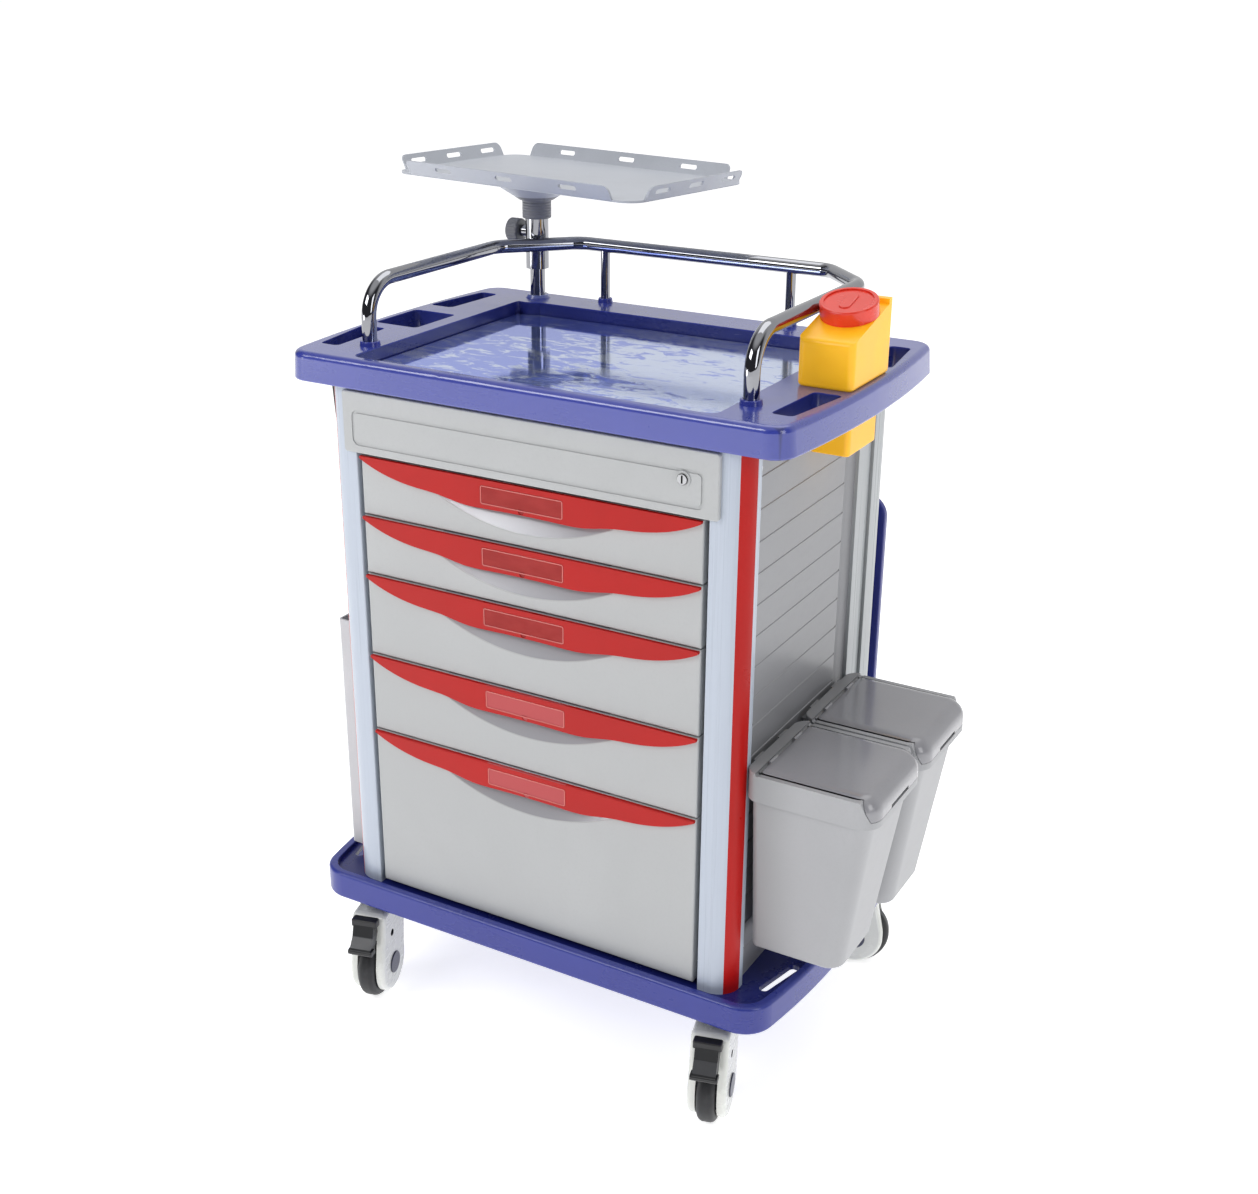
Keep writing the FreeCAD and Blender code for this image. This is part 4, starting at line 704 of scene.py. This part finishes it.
frame_material = plain("clear_frame", CLEAR_FRAME_RED, gloss=0.12, cloud=40.0, depth=0.00001, coat=0.6)
for drawer in DRAWERS:
    label_frame(drawer, frame_material)


# ---- floor, light and camera --------------------------------------------------------------
FLOOR_REACH = 14.0
FLOOR_GLOW = 0.70
ROOM_STRENGTH = 0.74
SEEN_STRENGTH = 1.02
DARK_ROOM = (0.07, 0.07, 0.08, 1.0)
DARK_TO_REAR = (0.10, 0.50)         # the dark part ends between these, in a direction's Y
DARK_TO_TOP = (0.62, 0.92)          # and between these, in its Z
EYE_FROM_CENTRE = (1.00656, -1.74442)
EYE_HEIGHT = 1.41782
LOOK_DIRECTION = Vector((-0.45583, 0.80533, -0.37904))
RIGHT_DIRECTION = Vector((0.86890, 0.49494, 0.00665))
LENS_MM = 46.925
SENSOR_MM = 36.0
SHIFT = (0.0016, -0.0013)


def make_floor():
    """Pale floor that glows a little, so that it reads as white as the backdrop."""
    mesh = bpy.data.meshes.new("floor")
    shape = bmesh.new()
    bmesh.ops.create_grid(shape, x_segments=1, y_segments=1, size=FLOOR_REACH)
    shape.to_mesh(mesh)
    shape.free()
    floor = bpy.data.objects.new("floor", mesh)
    bpy.context.scene.collection.objects.link(floor)
    graph = Graph("floor_pale")
    clouds = graph.noise(0.6, 3.0)
    tone = graph.mix(graph.ramp(clouds, 0.3, 0.7), (0.90, 0.90, 0.90), (0.93, 0.93, 0.93))
    mesh.materials.append(graph.set(
        Base_Color=tone, Roughness=0.9, Specular_IOR_Level=0.1,
        Emission_Color=(1.0, 1.0, 1.0), Emission_Strength=FLOOR_GLOW,
    ))


def area_light(name, place, aim, size, power):
    """Rectangular lamp at a place, turned towards its aim."""
    data = bpy.data.lights.new(name, "AREA")
    data.shape = "RECTANGLE"
    data.size, data.size_y = size
    data.energy = power
    lamp = bpy.data.objects.new(name, data)
    lamp.location = place
    lamp.rotation_euler = (aim - Vector(place)).to_track_quat("-Z", "Y").to_euler()
    bpy.context.scene.collection.objects.link(lamp)


def make_world():
    """White all round, but dark low down on the front side, so that chrome shows bands.

    The camera itself sees plain white.
    """
    world = bpy.data.worlds.new("studio")
    world.use_nodes = True
    tree = world.node_tree
    back = tree.nodes["Background"]
    coord = tree.nodes.new("ShaderNodeTexCoord")
    split = tree.nodes.new("ShaderNodeSeparateXYZ")
    tree.links.new(coord.outputs["Generated"], split.inputs[0])

    def fade(output, start, end):
        """One before the start, nought after the end."""
        span = tree.nodes.new("ShaderNodeMapRange")
        span.interpolation_type = "SMOOTHSTEP"
        tree.links.new(output, span.inputs["Value"])
        span.inputs["From Min"].default_value = start
        span.inputs["From Max"].default_value = end
        span.inputs["To Min"].default_value = 1.0
        span.inputs["To Max"].default_value = 0.0
        return span.outputs["Result"]

    dark = tree.nodes.new("ShaderNodeMath")
    dark.operation = "MULTIPLY"
    tree.links.new(fade(split.outputs[1], *DARK_TO_REAR), dark.inputs[0])
    tree.links.new(fade(split.outputs[2], *DARK_TO_TOP), dark.inputs[1])
    level = tree.nodes.new("ShaderNodeMix")
    level.data_type = "RGBA"
    tree.links.new(dark.outputs[0], level.inputs[0])
    level.inputs[6].default_value = (1.0, 1.0, 1.0, 1.0)
    level.inputs[7].default_value = DARK_ROOM
    tree.links.new(level.outputs[2], back.inputs["Color"])
    back.inputs["Strength"].default_value = ROOM_STRENGTH
    seen = tree.nodes.new("ShaderNodeBackground")
    seen.inputs["Strength"].default_value = SEEN_STRENGTH
    seen.inputs["Color"].default_value = (1.0, 1.0, 1.0, 1.0)
    path = tree.nodes.new("ShaderNodeLightPath")
    choice = tree.nodes.new("ShaderNodeMixShader")
    tree.links.new(path.outputs["Is Camera Ray"], choice.inputs[0])
    tree.links.new(back.outputs[0], choice.inputs[1])
    tree.links.new(seen.outputs[0], choice.inputs[2])
    tree.links.new(choice.outputs[0], tree.nodes["World Output"].inputs["Surface"])
    bpy.context.scene.world = world


def make_camera():
    """Camera at a standing viewer's eye, off the front right corner, looking a little down."""
    eye_x, eye_y = EYE_FROM_CENTRE
    eye = Vector((CENTRE_X + eye_x, CENTRE_Y + eye_y, EYE_HEIGHT))
    forward = LOOK_DIRECTION.normalized()
    right = RIGHT_DIRECTION.normalized()
    up = right.cross(forward).normalized()
    data = bpy.data.cameras.new("camera")
    data.sensor_fit = "HORIZONTAL"
    data.sensor_width = SENSOR_MM
    data.lens = LENS_MM
    data.shift_x, data.shift_y = SHIFT
    camera = bpy.data.objects.new("camera", data)
    turn = Matrix((right, up, -forward)).transposed()
    camera.matrix_world = Matrix.Translation(eye) @ turn.to_4x4()
    bpy.context.scene.collection.objects.link(camera)
    bpy.context.scene.camera = camera


make_floor()
make_world()
cabinet = Vector((CENTRE_X, CENTRE_Y, 0.6))
worktop = Vector((CENTRE_X, CENTRE_Y, 0.9))
worktop_left = Vector((CENTRE_X - 0.3, CENTRE_Y, 0.9))
area_light("key", (CENTRE_X - 1.6, CENTRE_Y - 2.8, 2.9), cabinet, size=(2.2, 1.2), power=52.0)
area_light("fill", (CENTRE_X + 3.0, CENTRE_Y - 1.2, 1.9), cabinet, size=(1.0, 2.0), power=19.0)
area_light("rim", (CENTRE_X - 2.1, CENTRE_Y - 2.1, 0.62), worktop_left, size=(0.4, 0.4), power=6.0)
area_light("top", (CENTRE_X, CENTRE_Y + 0.9, 3.4), worktop, size=(2.4, 2.0), power=22.0)
make_camera()
bpy.context.scene.view_settings.view_transform = "Standard"
